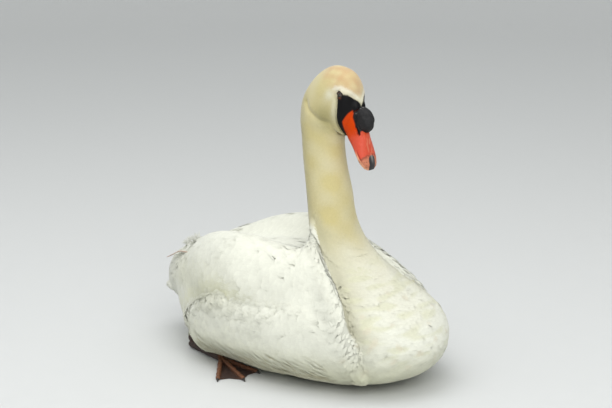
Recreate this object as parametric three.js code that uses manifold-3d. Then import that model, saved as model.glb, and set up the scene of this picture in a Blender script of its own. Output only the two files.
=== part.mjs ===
import * as THREE from 'three';
import Module from 'manifold-3d';

// Mute swan, life size, sitting with its neck raised, its bill tucked down and its wings folded.
// Millimetres. +X is forward, +Y is the bird's left, +Z is up, and the floor is the plane z = 0.

const wasm = await Module();
wasm.setup();

// ---- driving sizes --------------------------------------------------------------------------

const GAP = 0.32;                       // clear space kept between neighbouring solids
const FACET_TOLERANCE = 0.08;           // how far simplifying may move a surface
const BODY_SECTIONS = 48;               // cross-sections along trunk, neck and head
const BODY_AROUND = 30;                 // points round each of them
const WING_SECTIONS = 17;
const WING_AROUND = 18;

const EYE_X = 129;                      // the eye, which is the head's own origin
const EYE_Z = 456;
const HEAD_PITCH = THREE.MathUtils.degToRad(45);
const EYE_SIDE = 21.4;                  // eyeball centre from the middle plane
const EYE_RADIUS = 6.4;

const WING_TIP_CUT_X = -176;            // where the flight feathers leave the folded wing
const NECK_CUTS = [                     // [x, z, slope of the cut in degrees]
  [134, 216, -29],
  [97, 269, -27],
  [79, 341, -11],
  [75, 400, -20],
];

const KNOB = { forward: 47.5, up: -7, radii: [21, 13, 16], droop: 28 };
const GAPE = { fromForward: 40, fromUp: -38, toForward: 110, toUp: -53 };
const NAIL_FORWARD = 101;

const HEEL = [-150, 74, 9];             // left leg; the right one is its mirror image
const TOE_ROOT = [-62, 97, 6.5];
const SHANK_RADIUS = [9, 7];
const THIGH = { centre: [-98, 80, 40], radii: [56, 34, 40] };
const TOES = [                          // heading from forward towards outside, length, radius
  { heading: 4, length: 92, radius: 4.6 },
  { heading: 27, length: 112, radius: 5 },
  { heading: 50, length: 104, radius: 4.8 },
];
const WEB_THICKNESS = 2.4;
const WEB_REACH = 0.74;                 // free edge of the web as a share of the toes' length
const FOOT_START = 13;                  // clear of the shank's end
const FOOT_ROWS = [0, 0.2, 0.42, 0.5, 0.58, 0.78, 0.88, 1];

// ---- stations -------------------------------------------------------------------------------
// [back x, back z, belly x, belly z, half width, height share of the widest place,
//  roundness above it, roundness below it]; the cross-section lies in the plane of the two points.

const TRUNK_AND_NECK = [
  [-222, 104, -222, 88, 8, 0.5, 2, 2],
  [-212, 124, -212, 68, 40, 0.5, 2, 2],
  [-176, 150, -174, 34, 80, 0.45, 2, 2.1],
  [-116, 176, -114, 3, 120, 0.42, 2, 2.4],
  [-30, 196, -30, -4, 142, 0.42, 2, 2.5],
  [56, 203, 100, -4, 146, 0.42, 2, 2.5],
  [76, 208, 200, 3, 138, 0.42, 2, 2.4],
  [78, 214, 272, 28, 126, 0.42, 2, 2.2],
  [74, 224, 298, 64, 112, 0.45, 2, 2],
  [70, 234, 276, 104, 93, 0.48, 2, 2],
  [66, 244, 230, 140, 74, 0.5, 2, 2],
  [61, 256, 188, 174, 58, 0.5, 2, 2],
  [57, 272, 154, 208, 47, 0.5, 2, 2],
  [53, 292, 133, 248, 40, 0.5, 2, 2],
  [48, 316, 126, 290, 36.5, 0.5, 2, 2],
  [43, 348, 115, 335, 34, 0.5, 2, 2],
  [40, 384, 110, 368, 33.5, 0.5, 2, 2],
  [37, 414, 111, 379, 33.5, 0.5, 2, 2],
  [43, 446, 113, 385, 33, 0.5, 2, 2],
];

// The same columns, but measured forward and up from the eye in the frame of the level head.
const HEAD = [
  [-44, 12, 34, -59, 31.5, 0.55, 2, 2.2],
  [-20, 25, 36, -58, 30, 0.55, 2, 2.2],
  [2, 21, 39, -56.5, 27, 0.55, 2, 2.2],
  [17, 10, 43, -54, 22, 0.55, 2, 2.2],
  [28, 0, 48, -50, 17.5, 0.55, 2, 2.2],
];

const BILL = [
  [24, 2, 44, -49, 17.5, 0.5, 2, 2.2],
  [36, -3, 49, -49, 16.5, 0.45, 2, 2.2],
  [50, -10, 55, -50, 15.8, 0.42, 2, 2.3],
  [70, -20, 68, -51, 15.8, 0.4, 2, 2.4],
  [88, -31.5, 86, -53, 17.2, 0.4, 2, 2.4],
  [103, -41.5, 101, -55, 15.2, 0.4, 2, 2.4],
  [109, -47, 108, -55.5, 10.5, 0.4, 2, 2],
  [112, -51, 111, -55.2, 5, 0.4, 2, 2],
];

// [x, centre y, centre z, half width, half height] of the right wing before it is fitted.
const WING = [
  [218, -100, 94, 4, 8],
  [207, -98, 98, 15, 28],
  [178, -87, 108, 29, 50],
  [140, -79, 120, 37, 69],
  [104, -77, 131, 43, 84],
  [60, -84, 138, 50, 88],
  [-16, -90, 142, 56, 89],
  [-90, -75, 137, 53, 81],
  [-160, -47, 124, 43, 66],
  [-212, -27, 113, 32, 50],
  [-250, -16, 105, 23, 33],
  [-266, -12, 102, 15, 19],
  [-273, -10, 101, 5, 6],
];

const TAIL = [
  [-180, 0, 94, 46, 28],
  [-210, 0, 89, 48, 22],
  [-238, 0, 84, 43, 14],
  [-256, 0, 81, 33, 9],
  [-266, 0, 80, 19, 5],
  [-270, 0, 80, 6, 2],
];

// ---- surfaces -------------------------------------------------------------------------------

/** A point of the tilted head, from its distance forward of the eye and above it. */
function headPoint(forward, up) {
  const c = Math.cos(HEAD_PITCH);
  const s = Math.sin(HEAD_PITCH);
  return [EYE_X + forward * c + up * s, EYE_Z - forward * s + up * c];
}

/** Head stations carried into the common frame. */
function tilted(stations) {
  return stations.map(([f, u, bf, bu, ...rest]) => [
    ...headPoint(f, u),
    ...headPoint(bf, bu),
    ...rest,
  ]);
}

/** Smooth rows between the stations, evenly spaced along the running length `knots`. */
function smoothRows(stations, knots, count) {
  const last = stations.length - 1;
  const slope = (i, c) => {
    const a = Math.max(i - 1, 0);
    const b = Math.min(i + 1, last);
    if (a === i || b === i) return (stations[b][c] - stations[a][c]) / (knots[b] - knots[a]);
    const before = knots[i] - knots[a];
    const after = knots[b] - knots[i];
    const rise = (stations[b][c] - stations[i][c]) * before * before
      + (stations[i][c] - stations[a][c]) * after * after;
    return rise / (before * after * (before + after));
  };
  const rows = [];
  let k = 0;
  for (let n = 0; n < count; n += 1) {
    const t = (knots[last] * n) / (count - 1);
    while (k < last - 1 && t > knots[k + 1]) k += 1;
    const h = knots[k + 1] - knots[k];
    const s = (t - knots[k]) / h;
    rows.push(stations[k].map((value, c) => (2 * s ** 3 - 3 * s ** 2 + 1) * value
      + (s ** 3 - 2 * s ** 2 + s) * h * slope(k, c)
      + (3 * s ** 2 - 2 * s ** 3) * stations[k + 1][c]
      + (s ** 3 - s ** 2) * h * slope(k + 1, c)));
  }
  return rows;
}

/** Running length along stations that each carry a back and a belly point. */
function spineKnots(stations) {
  const knots = [0];
  for (let i = 1; i < stations.length; i += 1) {
    const [a, b] = [stations[i - 1], stations[i]];
    const back = Math.hypot(b[0] - a[0], b[1] - a[1]);
    const belly = Math.hypot(b[2] - a[2], b[3] - a[3]);
    knots.push(knots[i - 1] + (back + belly) / 2);
  }
  return knots;
}

/** Running length along stations that each carry a centre and two half sizes. */
function lobeKnots(stations) {
  const knots = [0];
  for (let i = 1; i < stations.length; i += 1) {
    const steps = stations[i].map((value, c) => value - stations[i - 1][c]);
    knots.push(knots[i - 1] + Math.hypot(...steps));
  }
  return knots;
}

const bulge = (value, power) => Math.sign(value) * Math.abs(value) ** (2 / power);

/** The ring of points of one trunk, neck, head or bill row, grown outwards by `grow`. */
function spineRing([bx, bz, vx, vz, halfWidth, share, above, below], around, grow) {
  const length = Math.hypot(bx - vx, bz - vz);
  const [ux, uz] = [(bx - vx) / length, (bz - vz) / length];
  const middle = [vx + share * (bx - vx), vz + share * (bz - vz)];
  const ring = [];
  for (let i = 0; i < around; i += 1) {
    const angle = (2 * Math.PI * i) / around;
    const c = Math.cos(angle);
    const power = c > 0 ? above : below;
    const reach = (c > 0 ? (1 - share) * length : share * length) + grow;
    const rise = bulge(c, power) * reach;
    const side = bulge(Math.sin(angle), power) * (halfWidth + grow);
    ring.push([middle[0] + ux * rise, -side, middle[1] + uz * rise]);
  }
  return ring;
}

/** The ring of an upright oval row, grown outwards by `grow`. */
function lobeRing([x, y, z, halfWidth, halfHeight], around, grow) {
  const ring = [];
  for (let i = 0; i < around; i += 1) {
    const angle = (2 * Math.PI * i) / around;
    ring.push([
      x,
      y + Math.sin(angle) * (halfWidth + grow),
      z + Math.cos(angle) * (halfHeight + grow),
    ]);
  }
  return ring;
}

/** A closed solid through rings of equal length, with its two ends capped. */
function solidFromRings(rings) {
  const around = rings[0].length;
  const points = rings.flat();
  const centre = (ring) => [0, 1, 2].map((c) => ring.reduce((sum, p) => sum + p[c], 0) / around);
  const first = points.push(centre(rings[0])) - 1;
  const final = points.push(centre(rings[rings.length - 1])) - 1;
  const triangles = [];
  for (let i = 0; i < around; i += 1) {
    const j = (i + 1) % around;
    const base = (rings.length - 1) * around;
    triangles.push([first, j, i], [final, base + i, base + j]);
    for (let r = 0; r < rings.length - 1; r += 1) {
      const [a, b] = [r * around + i, r * around + j];
      if (i < around / 2) triangles.push([a, b, b + around], [a, b + around, a + around]);
      else triangles.push([a, b, a + around], [b, b + around, a + around]);
    }
  }
  const make = (list) => new wasm.Manifold(new wasm.Mesh({
    numProp: 3,
    vertProperties: new Float32Array(points.flat()),
    triVerts: new Uint32Array(list.flat()),
  }));
  const solid = make(triangles);
  return solid.volume() > 0 ? solid : make(triangles.map(([a, b, c]) => [a, c, b]));
}

function spineSolid(stations, sections, around, grow = 0) {
  const rows = smoothRows(stations, spineKnots(stations), sections);
  return solidFromRings(rows.map((row) => spineRing(row, around, grow)));
}

function lobeSolid(stations, sections, around, grow = 0) {
  const rows = smoothRows(stations, lobeKnots(stations), sections);
  return solidFromRings(rows.map((row) => lobeRing(row, around, grow)));
}

/** An oval ball; `droop` turns its long axis down from forward, in degrees. */
function ball([cx, cy, cz], [rx, ry, rz], rows, around, droop = 0) {
  const turn = THREE.MathUtils.degToRad(droop);
  const rings = [];
  for (let i = 0; i <= rows; i += 1) {
    const polar = Math.PI * (0.04 + (0.92 * i) / rows);
    const ring = [];
    for (let j = 0; j < around; j += 1) {
      const angle = (2 * Math.PI * j) / around;
      const x = -rx * Math.cos(polar);
      const y = ry * Math.sin(polar) * Math.sin(angle);
      const z = rz * Math.sin(polar) * Math.cos(angle);
      ring.push([
        cx + x * Math.cos(turn) + z * Math.sin(turn),
        cy + y,
        cz - x * Math.sin(turn) + z * Math.cos(turn),
      ]);
    }
    rings.push(ring);
  }
  return solidFromRings(rings);
}

/** A rounded rod along a path of [point, radius] places. */
function rod(path, around = 10) {
  const places = path.map(([point, radius]) => ({ at: new THREE.Vector3(...point), radius }));
  const last = places.length - 1;
  const rings = [];
  const addRing = (at, heading, radius) => {
    const side = new THREE.Vector3(-heading.y, heading.x, 0).normalize();
    const up = new THREE.Vector3().crossVectors(heading, side);
    const ring = [];
    for (let i = 0; i < around; i += 1) {
      const angle = (2 * Math.PI * i) / around;
      const p = at.clone().addScaledVector(side, radius * Math.sin(angle));
      p.addScaledVector(up, radius * Math.cos(angle));
      ring.push([p.x, p.y, p.z]);
    }
    rings.push(ring);
  };
  places.forEach(({ at, radius }, i) => {
    const from = places[Math.max(i - 1, 0)].at;
    const to = places[Math.min(i + 1, last)].at;
    const heading = to.clone().sub(from).normalize();
    const outwards = i === 0 ? -1 : 1;
    const capped = at.clone().addScaledVector(heading, 0.7 * outwards * radius);
    if (i === 0) addRing(capped, heading, 0.5 * radius);
    addRing(at, heading, radius);
    if (i === last) addRing(capped, heading, 0.5 * radius);
  });
  return solidFromRings(rings);
}

/** The largest connected piece of a solid. */
function largest(solid) {
  const pieces = solid.decompose();
  return pieces.sort((a, b) => b.volume() - a.volume())[0];
}

const aboveFloor = (solid) => solid.trimByPlane([0, 0, 1], 0);
const mirrored = (solid) => solid.mirror([0, 1, 0]);

/** Both sides of a cut, with the gap left between them: [behind or below, ahead or above]. */
function cut(solid, normal, offset) {
  const back = solid.trimByPlane(normal.map((n) => -n), -offset + GAP / 2);
  const front = solid.trimByPlane(normal, offset + GAP / 2);
  return [back, front];
}

// ---- trunk, neck and head -------------------------------------------------------------------

const bodyStations = [...TRUNK_AND_NECK, ...tilted(HEAD)];
const wholeBody = aboveFloor(spineSolid(bodyStations, BODY_SECTIONS, BODY_AROUND));
const bodyRoom = spineSolid(bodyStations, BODY_SECTIONS, BODY_AROUND, GAP).add(wholeBody);

const lengths = [];
let rest = wholeBody;
for (const [x, z, slope] of NECK_CUTS) {
  const angle = THREE.MathUtils.degToRad(slope);
  const normal = [-Math.sin(angle), 0, Math.cos(angle)];
  const [lower, upper] = cut(rest, normal, normal[0] * x + normal[2] * z);
  lengths.push(lower);
  rest = upper;
}
const [trunk, neckLower, neckMiddle, neckUpper] = lengths;

const eyeAt = [EYE_X, EYE_SIDE, EYE_Z];
const eye = ball(eyeAt, [EYE_RADIUS, EYE_RADIUS, EYE_RADIUS], 6, 12);
const eyeRoom = ball(eyeAt, [EYE_RADIUS, EYE_RADIUS, EYE_RADIUS].map((r) => r + GAP), 6, 12);
const head = rest.subtract(eyeRoom).subtract(mirrored(eyeRoom));

// ---- bill and knob --------------------------------------------------------------------------

const billStations = tilted(BILL);
const face = tilted(HEAD).at(-1);
const faceLength = Math.hypot(face[0] - face[2], face[1] - face[3]);
const faceNormal = [(face[1] - face[3]) / faceLength, 0, (face[2] - face[0]) / faceLength];
const faceOffset = faceNormal[0] * face[0] + faceNormal[2] * face[1];
const wholeBill = spineSolid(billStations, 13, 16).trimByPlane(faceNormal, faceOffset + GAP);
const billRoom = spineSolid(billStations, 13, 16, GAP);

const gapeFrom = headPoint(GAPE.fromForward, GAPE.fromUp);
const gapeTo = headPoint(GAPE.toForward, GAPE.toUp);
const gapeLength = Math.hypot(gapeTo[0] - gapeFrom[0], gapeTo[1] - gapeFrom[1]);
const gapeNormal = [
  -(gapeTo[1] - gapeFrom[1]) / gapeLength,
  0,
  (gapeTo[0] - gapeFrom[0]) / gapeLength,
];
const gapeOffset = gapeNormal[0] * gapeFrom[0] + gapeNormal[2] * gapeFrom[1];
const [billLower, billAbove] = cut(largest(wholeBill), gapeNormal, gapeOffset);

const nailFrom = headPoint(NAIL_FORWARD, 0);
const forwardNormal = [Math.cos(HEAD_PITCH), 0, -Math.sin(HEAD_PITCH)];
const nailOffset = forwardNormal[0] * nailFrom[0] + forwardNormal[2] * nailFrom[1];
const [billUpper, billNail] = cut(billAbove, forwardNormal, nailOffset);

const [knobX, knobZ] = headPoint(KNOB.forward, KNOB.up);
const knobTurn = THREE.MathUtils.radToDeg(HEAD_PITCH) + KNOB.droop;
const knob = largest(ball([knobX, 0, knobZ], KNOB.radii, 8, 14, knobTurn)
  .subtract(billRoom)
  .subtract(bodyRoom));

// ---- wings and tail -------------------------------------------------------------------------

const wingWhole = lobeSolid(WING, WING_SECTIONS, WING_AROUND).subtract(bodyRoom);
const middleRoom = [0, -1, 0];
const wingOwnSide = largest(wingWhole.trimByPlane(middleRoom, GAP / 2));
const wingRoom = lobeSolid(WING, WING_SECTIONS, WING_AROUND, GAP);
const [wingTipRaw, wingRaw] = cut(wingOwnSide, [1, 0, 0], WING_TIP_CUT_X);
const wingRight = largest(wingRaw);
const wingTipRight = largest(wingTipRaw);

const tail = largest(lobeSolid(TAIL, 9, 16)
  .subtract(bodyRoom)
  .subtract(wingRoom)
  .subtract(mirrored(wingRoom)));

// ---- legs -----------------------------------------------------------------------------------

const thighWhole = ball(THIGH.centre, THIGH.radii, 8, 14);
const thighRoom = ball(THIGH.centre, THIGH.radii.map((r) => r + GAP), 8, 14);
const wingRoomLeft = mirrored(wingRoom);
const thighLeft = largest(aboveFloor(thighWhole).subtract(bodyRoom).subtract(wingRoomLeft));

const shankLeft = largest(aboveFloor(rod([[HEEL, SHANK_RADIUS[0]], [TOE_ROOT, SHANK_RADIUS[1]]]))
  .subtract(bodyRoom)
  .subtract(thighRoom));

/** The point reached from the toe root at a heading and a distance. */
function fromToeRoot(heading, distance, z) {
  const angle = THREE.MathUtils.degToRad(heading);
  return [
    TOE_ROOT[0] + Math.cos(angle) * distance,
    TOE_ROOT[1] + Math.sin(angle) * distance,
    z,
  ];
}

/** A closed solid between a grid of top points and the floor below it. */
function slab(top) {
  const [rows, columns] = [top.length, top[0].length];
  const points = [...top.flat(), ...top.flat().map(([x, y]) => [x, y, 0])];
  const below = rows * columns;
  const triangles = [];
  const quad = (a, b, c, d) => triangles.push([a, b, c], [a, c, d]);
  for (let r = 0; r < rows - 1; r += 1) {
    for (let c = 0; c < columns - 1; c += 1) {
      const [a, b] = [r * columns + c, (r + 1) * columns + c];
      quad(a, b, b + 1, a + 1);
      quad(below + a + 1, below + b + 1, below + b, below + a);
    }
  }
  const wall = (a, b) => quad(a, b, below + b, below + a);
  const corner = (rows - 1) * columns;
  for (let c = 0; c < columns - 1; c += 1) {
    wall(c, c + 1);
    wall(corner + c + 1, corner + c);
  }
  for (let r = 0; r < rows - 1; r += 1) {
    wall((r + 1) * columns, r * columns);
    wall(r * columns + columns - 1, (r + 1) * columns + columns - 1);
  }
  const make = (list) => new wasm.Manifold(new wasm.Mesh({
    numProp: 3,
    vertProperties: new Float32Array(points.flat()),
    triVerts: new Uint32Array(list.flat()),
  }));
  const solid = make(triangles);
  return solid.volume() > 0 ? solid : make(triangles.map(([i, j, k]) => [i, k, j]));
}

/** Half thickness of a toe at a share of its length: swollen joints, then a claw. */
function toeRadius(radius, share) {
  if (share > 0.88) return radius * (0.72 - 5 * (share - 0.88));
  const joint = Math.exp(-(((share - 0.5) / 0.06) ** 2));
  return radius * (0.98 - 0.3 * share + 0.14 * joint);
}

/** The spread foot: rows run outwards from the shank, columns run across toes and webs. */
function footSlab() {
  const across = [-1, -0.66, 0, 0.66, 1];
  const rows = [];
  for (const share of FOOT_ROWS) {
    const row = [];
    TOES.forEach((one, i) => {
      const reach = FOOT_START + (one.length - FOOT_START) * share;
      const radius = toeRadius(one.radius, share);
      for (const offset of across) {
        const swing = THREE.MathUtils.radToDeg((offset * radius) / reach);
        const heading = one.heading + THREE.MathUtils.clamp(swing, -8.5, 8.5);
        const height = 2 * radius * Math.sqrt(Math.max(0.06, 1 - offset * offset));
        row.push(fromToeRoot(heading, reach, height));
      }
      const next = TOES[i + 1];
      if (next) {
        for (const s of [0.34, 0.66]) {
          const heading = one.heading + (next.heading - one.heading) * s;
          const full = (one.length + (next.length - one.length) * s) * WEB_REACH;
          const reachHere = FOOT_START + (full - FOOT_START) * share;
          row.push(fromToeRoot(heading, reachHere, WEB_THICKNESS));
        }
      }
    });
    rows.push(row);
  }
  return slab(rows);
}

const footLeft = footSlab();

// ---- colours and nodes ----------------------------------------------------------------------

const PAINT = {
  white: { color: 0xf0efe6, roughness: 0.85 },
  cream: { color: 0xe6dfc8, roughness: 0.85 },
  coral: { color: 0xd8623a, roughness: 0.5 },
  black: { color: 0x1c1a1a, roughness: 0.55 },
  foot: { color: 0x4a3a34, roughness: 0.7 },
  eye: { color: 0x140f0d, roughness: 0.15 },
};

const group = new THREE.Group();

function place(name, solid, paint) {
  const { vertProperties, triVerts, numProp } = solid.simplify(FACET_TOLERANCE).getMesh();
  const positions = new Float32Array((vertProperties.length / numProp) * 3);
  for (let i = 0; i < positions.length / 3; i += 1) {
    positions.set(vertProperties.subarray(i * numProp, i * numProp + 3), i * 3);
  }
  const geometry = new THREE.BufferGeometry();
  geometry.setAttribute('position', new THREE.BufferAttribute(positions, 3));
  geometry.setIndex(new THREE.BufferAttribute(new Uint32Array(triVerts), 1));
  geometry.computeVertexNormals();
  const mesh = new THREE.Mesh(geometry, new THREE.MeshStandardMaterial(PAINT[paint]));
  mesh.name = name;
  group.add(mesh);
}

place('trunk', largest(trunk), 'white');
place('neck_lower', largest(neckLower), 'white');
place('neck_middle', largest(neckMiddle), 'cream');
place('neck_upper', largest(neckUpper), 'cream');
place('head', largest(head), 'cream');
place('eye_left', eye, 'eye');
place('eye_right', mirrored(eye), 'eye');
place('bill_upper', largest(billUpper), 'coral');
place('bill_lower', largest(billLower), 'coral');
place('bill_nail', largest(billNail), 'black');
place('knob', knob, 'black');
place('wing_right', wingRight, 'white');
place('wing_left', mirrored(wingRight), 'white');
place('wing_tip_right', wingTipRight, 'white');
place('wing_tip_left', mirrored(wingTipRight), 'white');
place('tail', tail, 'white');
place('thigh_left', thighLeft, 'white');
place('thigh_right', mirrored(thighLeft), 'white');
place('shank_left', shankLeft, 'foot');
place('shank_right', mirrored(shankLeft), 'foot');
place('foot_left', footLeft, 'foot');
place('foot_right', mirrored(footLeft), 'foot');

export default group;
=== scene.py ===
"""Mute swan resting on the floor: skin, bill, eyes, feet and a coat of solid feathers.

Everything is worked out in millimetres in the model's own frame (x forwards, y to the bird's left,
z up, origin under the belly) and put into the meshes in metres.
"""
import logging
import math
from dataclasses import dataclass, field, replace
from enum import Enum
from typing import Callable

import bmesh
import bpy
import numpy as np
from bpy.types import ID, Material, Mesh, Node, NodeSocket, NodeTree, Object, bpy_prop_collection
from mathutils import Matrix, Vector


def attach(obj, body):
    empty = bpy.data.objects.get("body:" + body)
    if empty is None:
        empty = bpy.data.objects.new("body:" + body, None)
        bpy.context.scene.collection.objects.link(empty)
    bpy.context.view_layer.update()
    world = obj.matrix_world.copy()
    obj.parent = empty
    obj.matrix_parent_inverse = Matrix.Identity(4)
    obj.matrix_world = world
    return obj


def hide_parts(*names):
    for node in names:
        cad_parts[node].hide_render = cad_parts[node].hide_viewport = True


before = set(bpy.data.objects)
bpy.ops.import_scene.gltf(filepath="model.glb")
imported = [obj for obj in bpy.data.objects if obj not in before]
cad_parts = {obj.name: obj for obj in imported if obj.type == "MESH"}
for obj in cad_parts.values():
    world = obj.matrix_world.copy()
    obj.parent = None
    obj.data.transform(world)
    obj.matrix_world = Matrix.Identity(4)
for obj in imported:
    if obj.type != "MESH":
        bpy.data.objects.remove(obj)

LOG = logging.getLogger("swan")
MM = 0.001
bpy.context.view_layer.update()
HEAD_PITCH = math.radians(45)
EYE_CENTRE = (129.0, 21.4, 456.0)
EYE_RADIUS = 6.4
Array = np.ndarray
Pair = tuple[np.ndarray, np.ndarray]
Random = np.random.Generator
MIRROR = np.array([1, -1, 1])
STRANDS = 7


class Side(Enum):
    """Which half of the bird a piece belongs to, as the sign of its y."""

    RIGHT = -1
    LEFT = 1


class Tract(Enum):
    """The feather tracts, each one coat piece."""

    HEAD = "coat_head"
    NECK_UPPER = "coat_neck_upper"
    NECK_LOWER = "coat_neck_lower"
    BREAST_RIGHT = "coat_breast_right"
    BREAST_LEFT = "coat_breast_left"
    MANTLE_RIGHT = "coat_side_right"
    MANTLE_LEFT = "coat_side_left"
    BELLY = "coat_belly"
    FLANKS = "coat_flanks"
    STERN = "coat_stern"
    THIGHS = "coat_thighs"


# ---- small mathematics ----


def smooth(low: float, high: float, value: Array) -> Array:
    """Rises from 0 at low to 1 at high as 3t^2 - 2t^3."""
    t = np.clip((value - low) / (high - low), 0.0, 1.0)
    return t * t * (3.0 - 2.0 * t)


def hermite(knots: Array, rows: Array, at: Array) -> Array:
    """Smooth curve through rows.

    Formula: a cubic between neighbouring knots with the slopes that central differences give.

    Args:
        knots: Increasing parameter of each row.
        rows: Values at the knots, one row each.
        at: Parameters wanted.

    Returns:
        One row of values for each parameter.
    """
    slopes = np.gradient(rows, knots, axis=0)
    at = np.clip(at, knots[0], knots[-1])
    i = np.clip(np.searchsorted(knots, at, side="right") - 1, 0, len(knots) - 2)
    span = (knots[i + 1] - knots[i])[..., None]
    t = ((at - knots[i]) / (knots[i + 1] - knots[i]))[..., None]
    return (
        (2 * t**3 - 3 * t**2 + 1) * rows[i]
        + (t**3 - 2 * t**2 + t) * span * slopes[i]
        + (3 * t**2 - 2 * t**3) * rows[i + 1]
        + (t**3 - t**2) * span * slopes[i + 1]
    )


def xyz(x: Array | float, y: Array | float, z: Array | float) -> Array:
    """Points from their three coordinates, each an array or one number for all."""
    return np.stack(np.broadcast_arrays(x, y, z), -1)


def bell(*offsets: Array) -> Array:
    """Falls from 1 at the middle to every side as e to the minus sum of the squared offsets."""
    return np.exp(-sum(offset**2 for offset in offsets))


def turns(count: int) -> Array:
    """Equal steps once round the circle, in radians."""
    return np.arange(count) * (2 * math.pi / count)


def unit(vectors: Array) -> Array:
    """Vectors scaled to length one."""
    return vectors / np.maximum(np.linalg.norm(vectors, axis=-1, keepdims=True), 1e-9)


def waves(points: Array, length: float, seed: int, count: int = 7) -> Array:
    """Soft noise: the mean of sine waves of about one length in random directions, from -1 to 1.

    Args:
        points: Places.
        length: Usual length of a wave.
        seed: Seed of the directions.
        count: Number of waves.

    Returns:
        One value for each place.
    """
    rng = np.random.default_rng(seed)
    directions = unit(rng.normal(size=(count, 3))) * (2 * math.pi / length)
    directions *= rng.uniform(0.7, 1.4, size=(count, 1))
    phases = rng.uniform(0, 2 * math.pi, size=count)
    return np.sin(points @ directions.T + phases).sum(-1) / math.sqrt(count) * 0.8


def head_level(points: Array) -> Pair:
    """Coordinates along the head and above it, with the eye at (0, 0) and the head level.

    Args:
        points: Places.

    Returns:
        Millimetres forwards and upwards of the eye.
    """
    c, s = math.cos(HEAD_PITCH), math.sin(HEAD_PITCH)
    x, z = points[..., 0] - EYE_CENTRE[0], points[..., 2] - EYE_CENTRE[2]
    return x * c - z * s, x * s + z * c


def head_point(forward: float, up: float) -> tuple[float, float]:
    """The x and z of a point given in the head's level coordinates."""
    c, s = math.cos(HEAD_PITCH), math.sin(HEAD_PITCH)
    return (EYE_CENTRE[0] + forward * c + up * s, EYE_CENTRE[2] - forward * s + up * c)


def polyline_distance(points: Array, line: Array) -> Pair:
    """Distance from points to a polyline, and the vector from its nearest point.

    Args:
        points: Points, last axis 2 or 3.
        line: Corners of the polyline.

    Returns:
        The distances and the vectors from the nearest place of the line to the points.
    """
    best = np.full(points.shape[:-1], np.inf)
    arrow = np.zeros_like(points)
    for a, b in zip(line[:-1], line[1:]):
        along = b - a
        t = np.clip(((points - a) @ along) / (along @ along), 0, 1)
        v = points - (a + t[..., None] * along)
        d = np.linalg.norm(v, axis=-1)
        near = d < best
        best = np.where(near, d, best)
        arrow = np.where(near[..., None], v, arrow)
    return best, arrow


def inside_depth(x: Array, y: Array, corners: tuple) -> Array:
    """Signed distance to a polygon, positive inside: even-odd crossings give the sign.

    Args:
        x: First coordinates.
        y: Second coordinates.
        corners: Corners of the polygon.

    Returns:
        One distance for each point.
    """
    ring = np.array(corners + corners[:1], float)
    distance, _ = polyline_distance(np.stack([x, y], -1), ring)
    crossings = np.zeros(x.shape, bool)
    for (x0, y0), (x1, y1) in zip(ring[:-1], ring[1:]):
        if y0 == y1:
            continue
        spans = (y0 > y) != (y1 > y)
        crossings ^= spans & (x < (x1 - x0) * (y - y0) / (y1 - y0) + x0)
    return np.where(crossings, distance, -distance)


# ---- meshes ----


def grid_quads(rows: Array, columns: Array, width: int) -> Array:
    """Quads between neighbouring rows and columns of a grid.

    Args:
        rows: Numbers of the rows in order, the first again at the end where they close.
        columns: The same for the columns.
        width: Points of a row.

    Returns:
        Four point numbers for each quad.
    """
    i, j = np.meshgrid(rows[:-1], columns[:-1], indexing="ij")
    p, q = np.meshgrid(rows[1:], columns[1:], indexing="ij")
    corners = (i * width + j, p * width + j, p * width + q, i * width + q)
    return np.stack(corners, -1).reshape(-1, 4)


def circuit(count: int) -> Array:
    """The numbers 0 to count - 1, and 0 again."""
    return np.append(np.arange(count), 0)


@dataclass
class Shell:
    """A closed mesh being put together: vertices in millimetres, triangles and quads."""

    vertices: Array
    triangles: Array
    quads: Array

    @staticmethod
    def from_grid(grid: Array) -> "Shell":
        """A tube of rings closed at both ends.

        Formula: quads join neighbouring rings, and a fan joins each end ring to its mean point.

        Args:
            grid: Ring after ring of points, each ring closed on itself.

        Returns:
            The closed shell with its faces outwards.
        """
        n, m = grid.shape[:2]
        ends = np.stack([grid[0].mean(0), grid[-1].mean(0)])
        vertices = np.concatenate([grid.reshape(-1, 3), ends])
        quads = grid_quads(np.arange(n), circuit(m), m)
        ring, after = circuit(m)[:-1], circuit(m)[1:]
        first = np.stack([np.full(m, n * m), ring, after], -1)
        last = np.stack([np.full(m, n * m + 1), (n - 1) * m + after, (n - 1) * m + ring], -1)
        return Shell(vertices, np.concatenate([first, last]), quads).outwards()

    @staticmethod
    def from_sheets(upper: Array, lower: Array) -> "Shell":
        """A thin body between two sheets, each ring going out on one and back on the other."""
        return Shell.from_grid(np.concatenate([upper, lower[:, ::-1]], axis=1))

    @staticmethod
    def from_loop(grid: Array) -> "Shell":
        """A tube of rings whose last ring joins the first, faces outwards."""
        n, m = grid.shape[:2]
        quads = grid_quads(circuit(n), circuit(m), m)
        return Shell(grid.reshape(-1, 3), np.zeros((0, 3), int), quads).outwards()

    def outwards(self) -> "Shell":
        """The shell with its faces outwards, whichever way they were."""
        return self if self.volume() > 0 else self.turned()

    def split(self) -> Array:
        """All faces as triangles."""
        return np.concatenate([self.triangles, self.quads[:, [0, 1, 2]], self.quads[:, [0, 2, 3]]])

    def volume(self) -> float:
        """Signed volume: the sum of the tetrahedra between the faces and the origin."""
        a, b, c = (self.vertices[self.split()[:, k]] for k in range(3))
        return float((np.cross(a, b) * c).sum() / 6)

    def turned(self) -> "Shell":
        """The same shell with its faces the other way round."""
        return Shell(self.vertices, self.triangles[:, ::-1], self.quads[:, ::-1])

    def mirrored(self) -> "Shell":
        """The shell on the other side of the middle plane, faces outwards."""
        flipped = Shell(self.vertices * MIRROR, self.triangles, self.quads)
        return flipped.turned()


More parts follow.
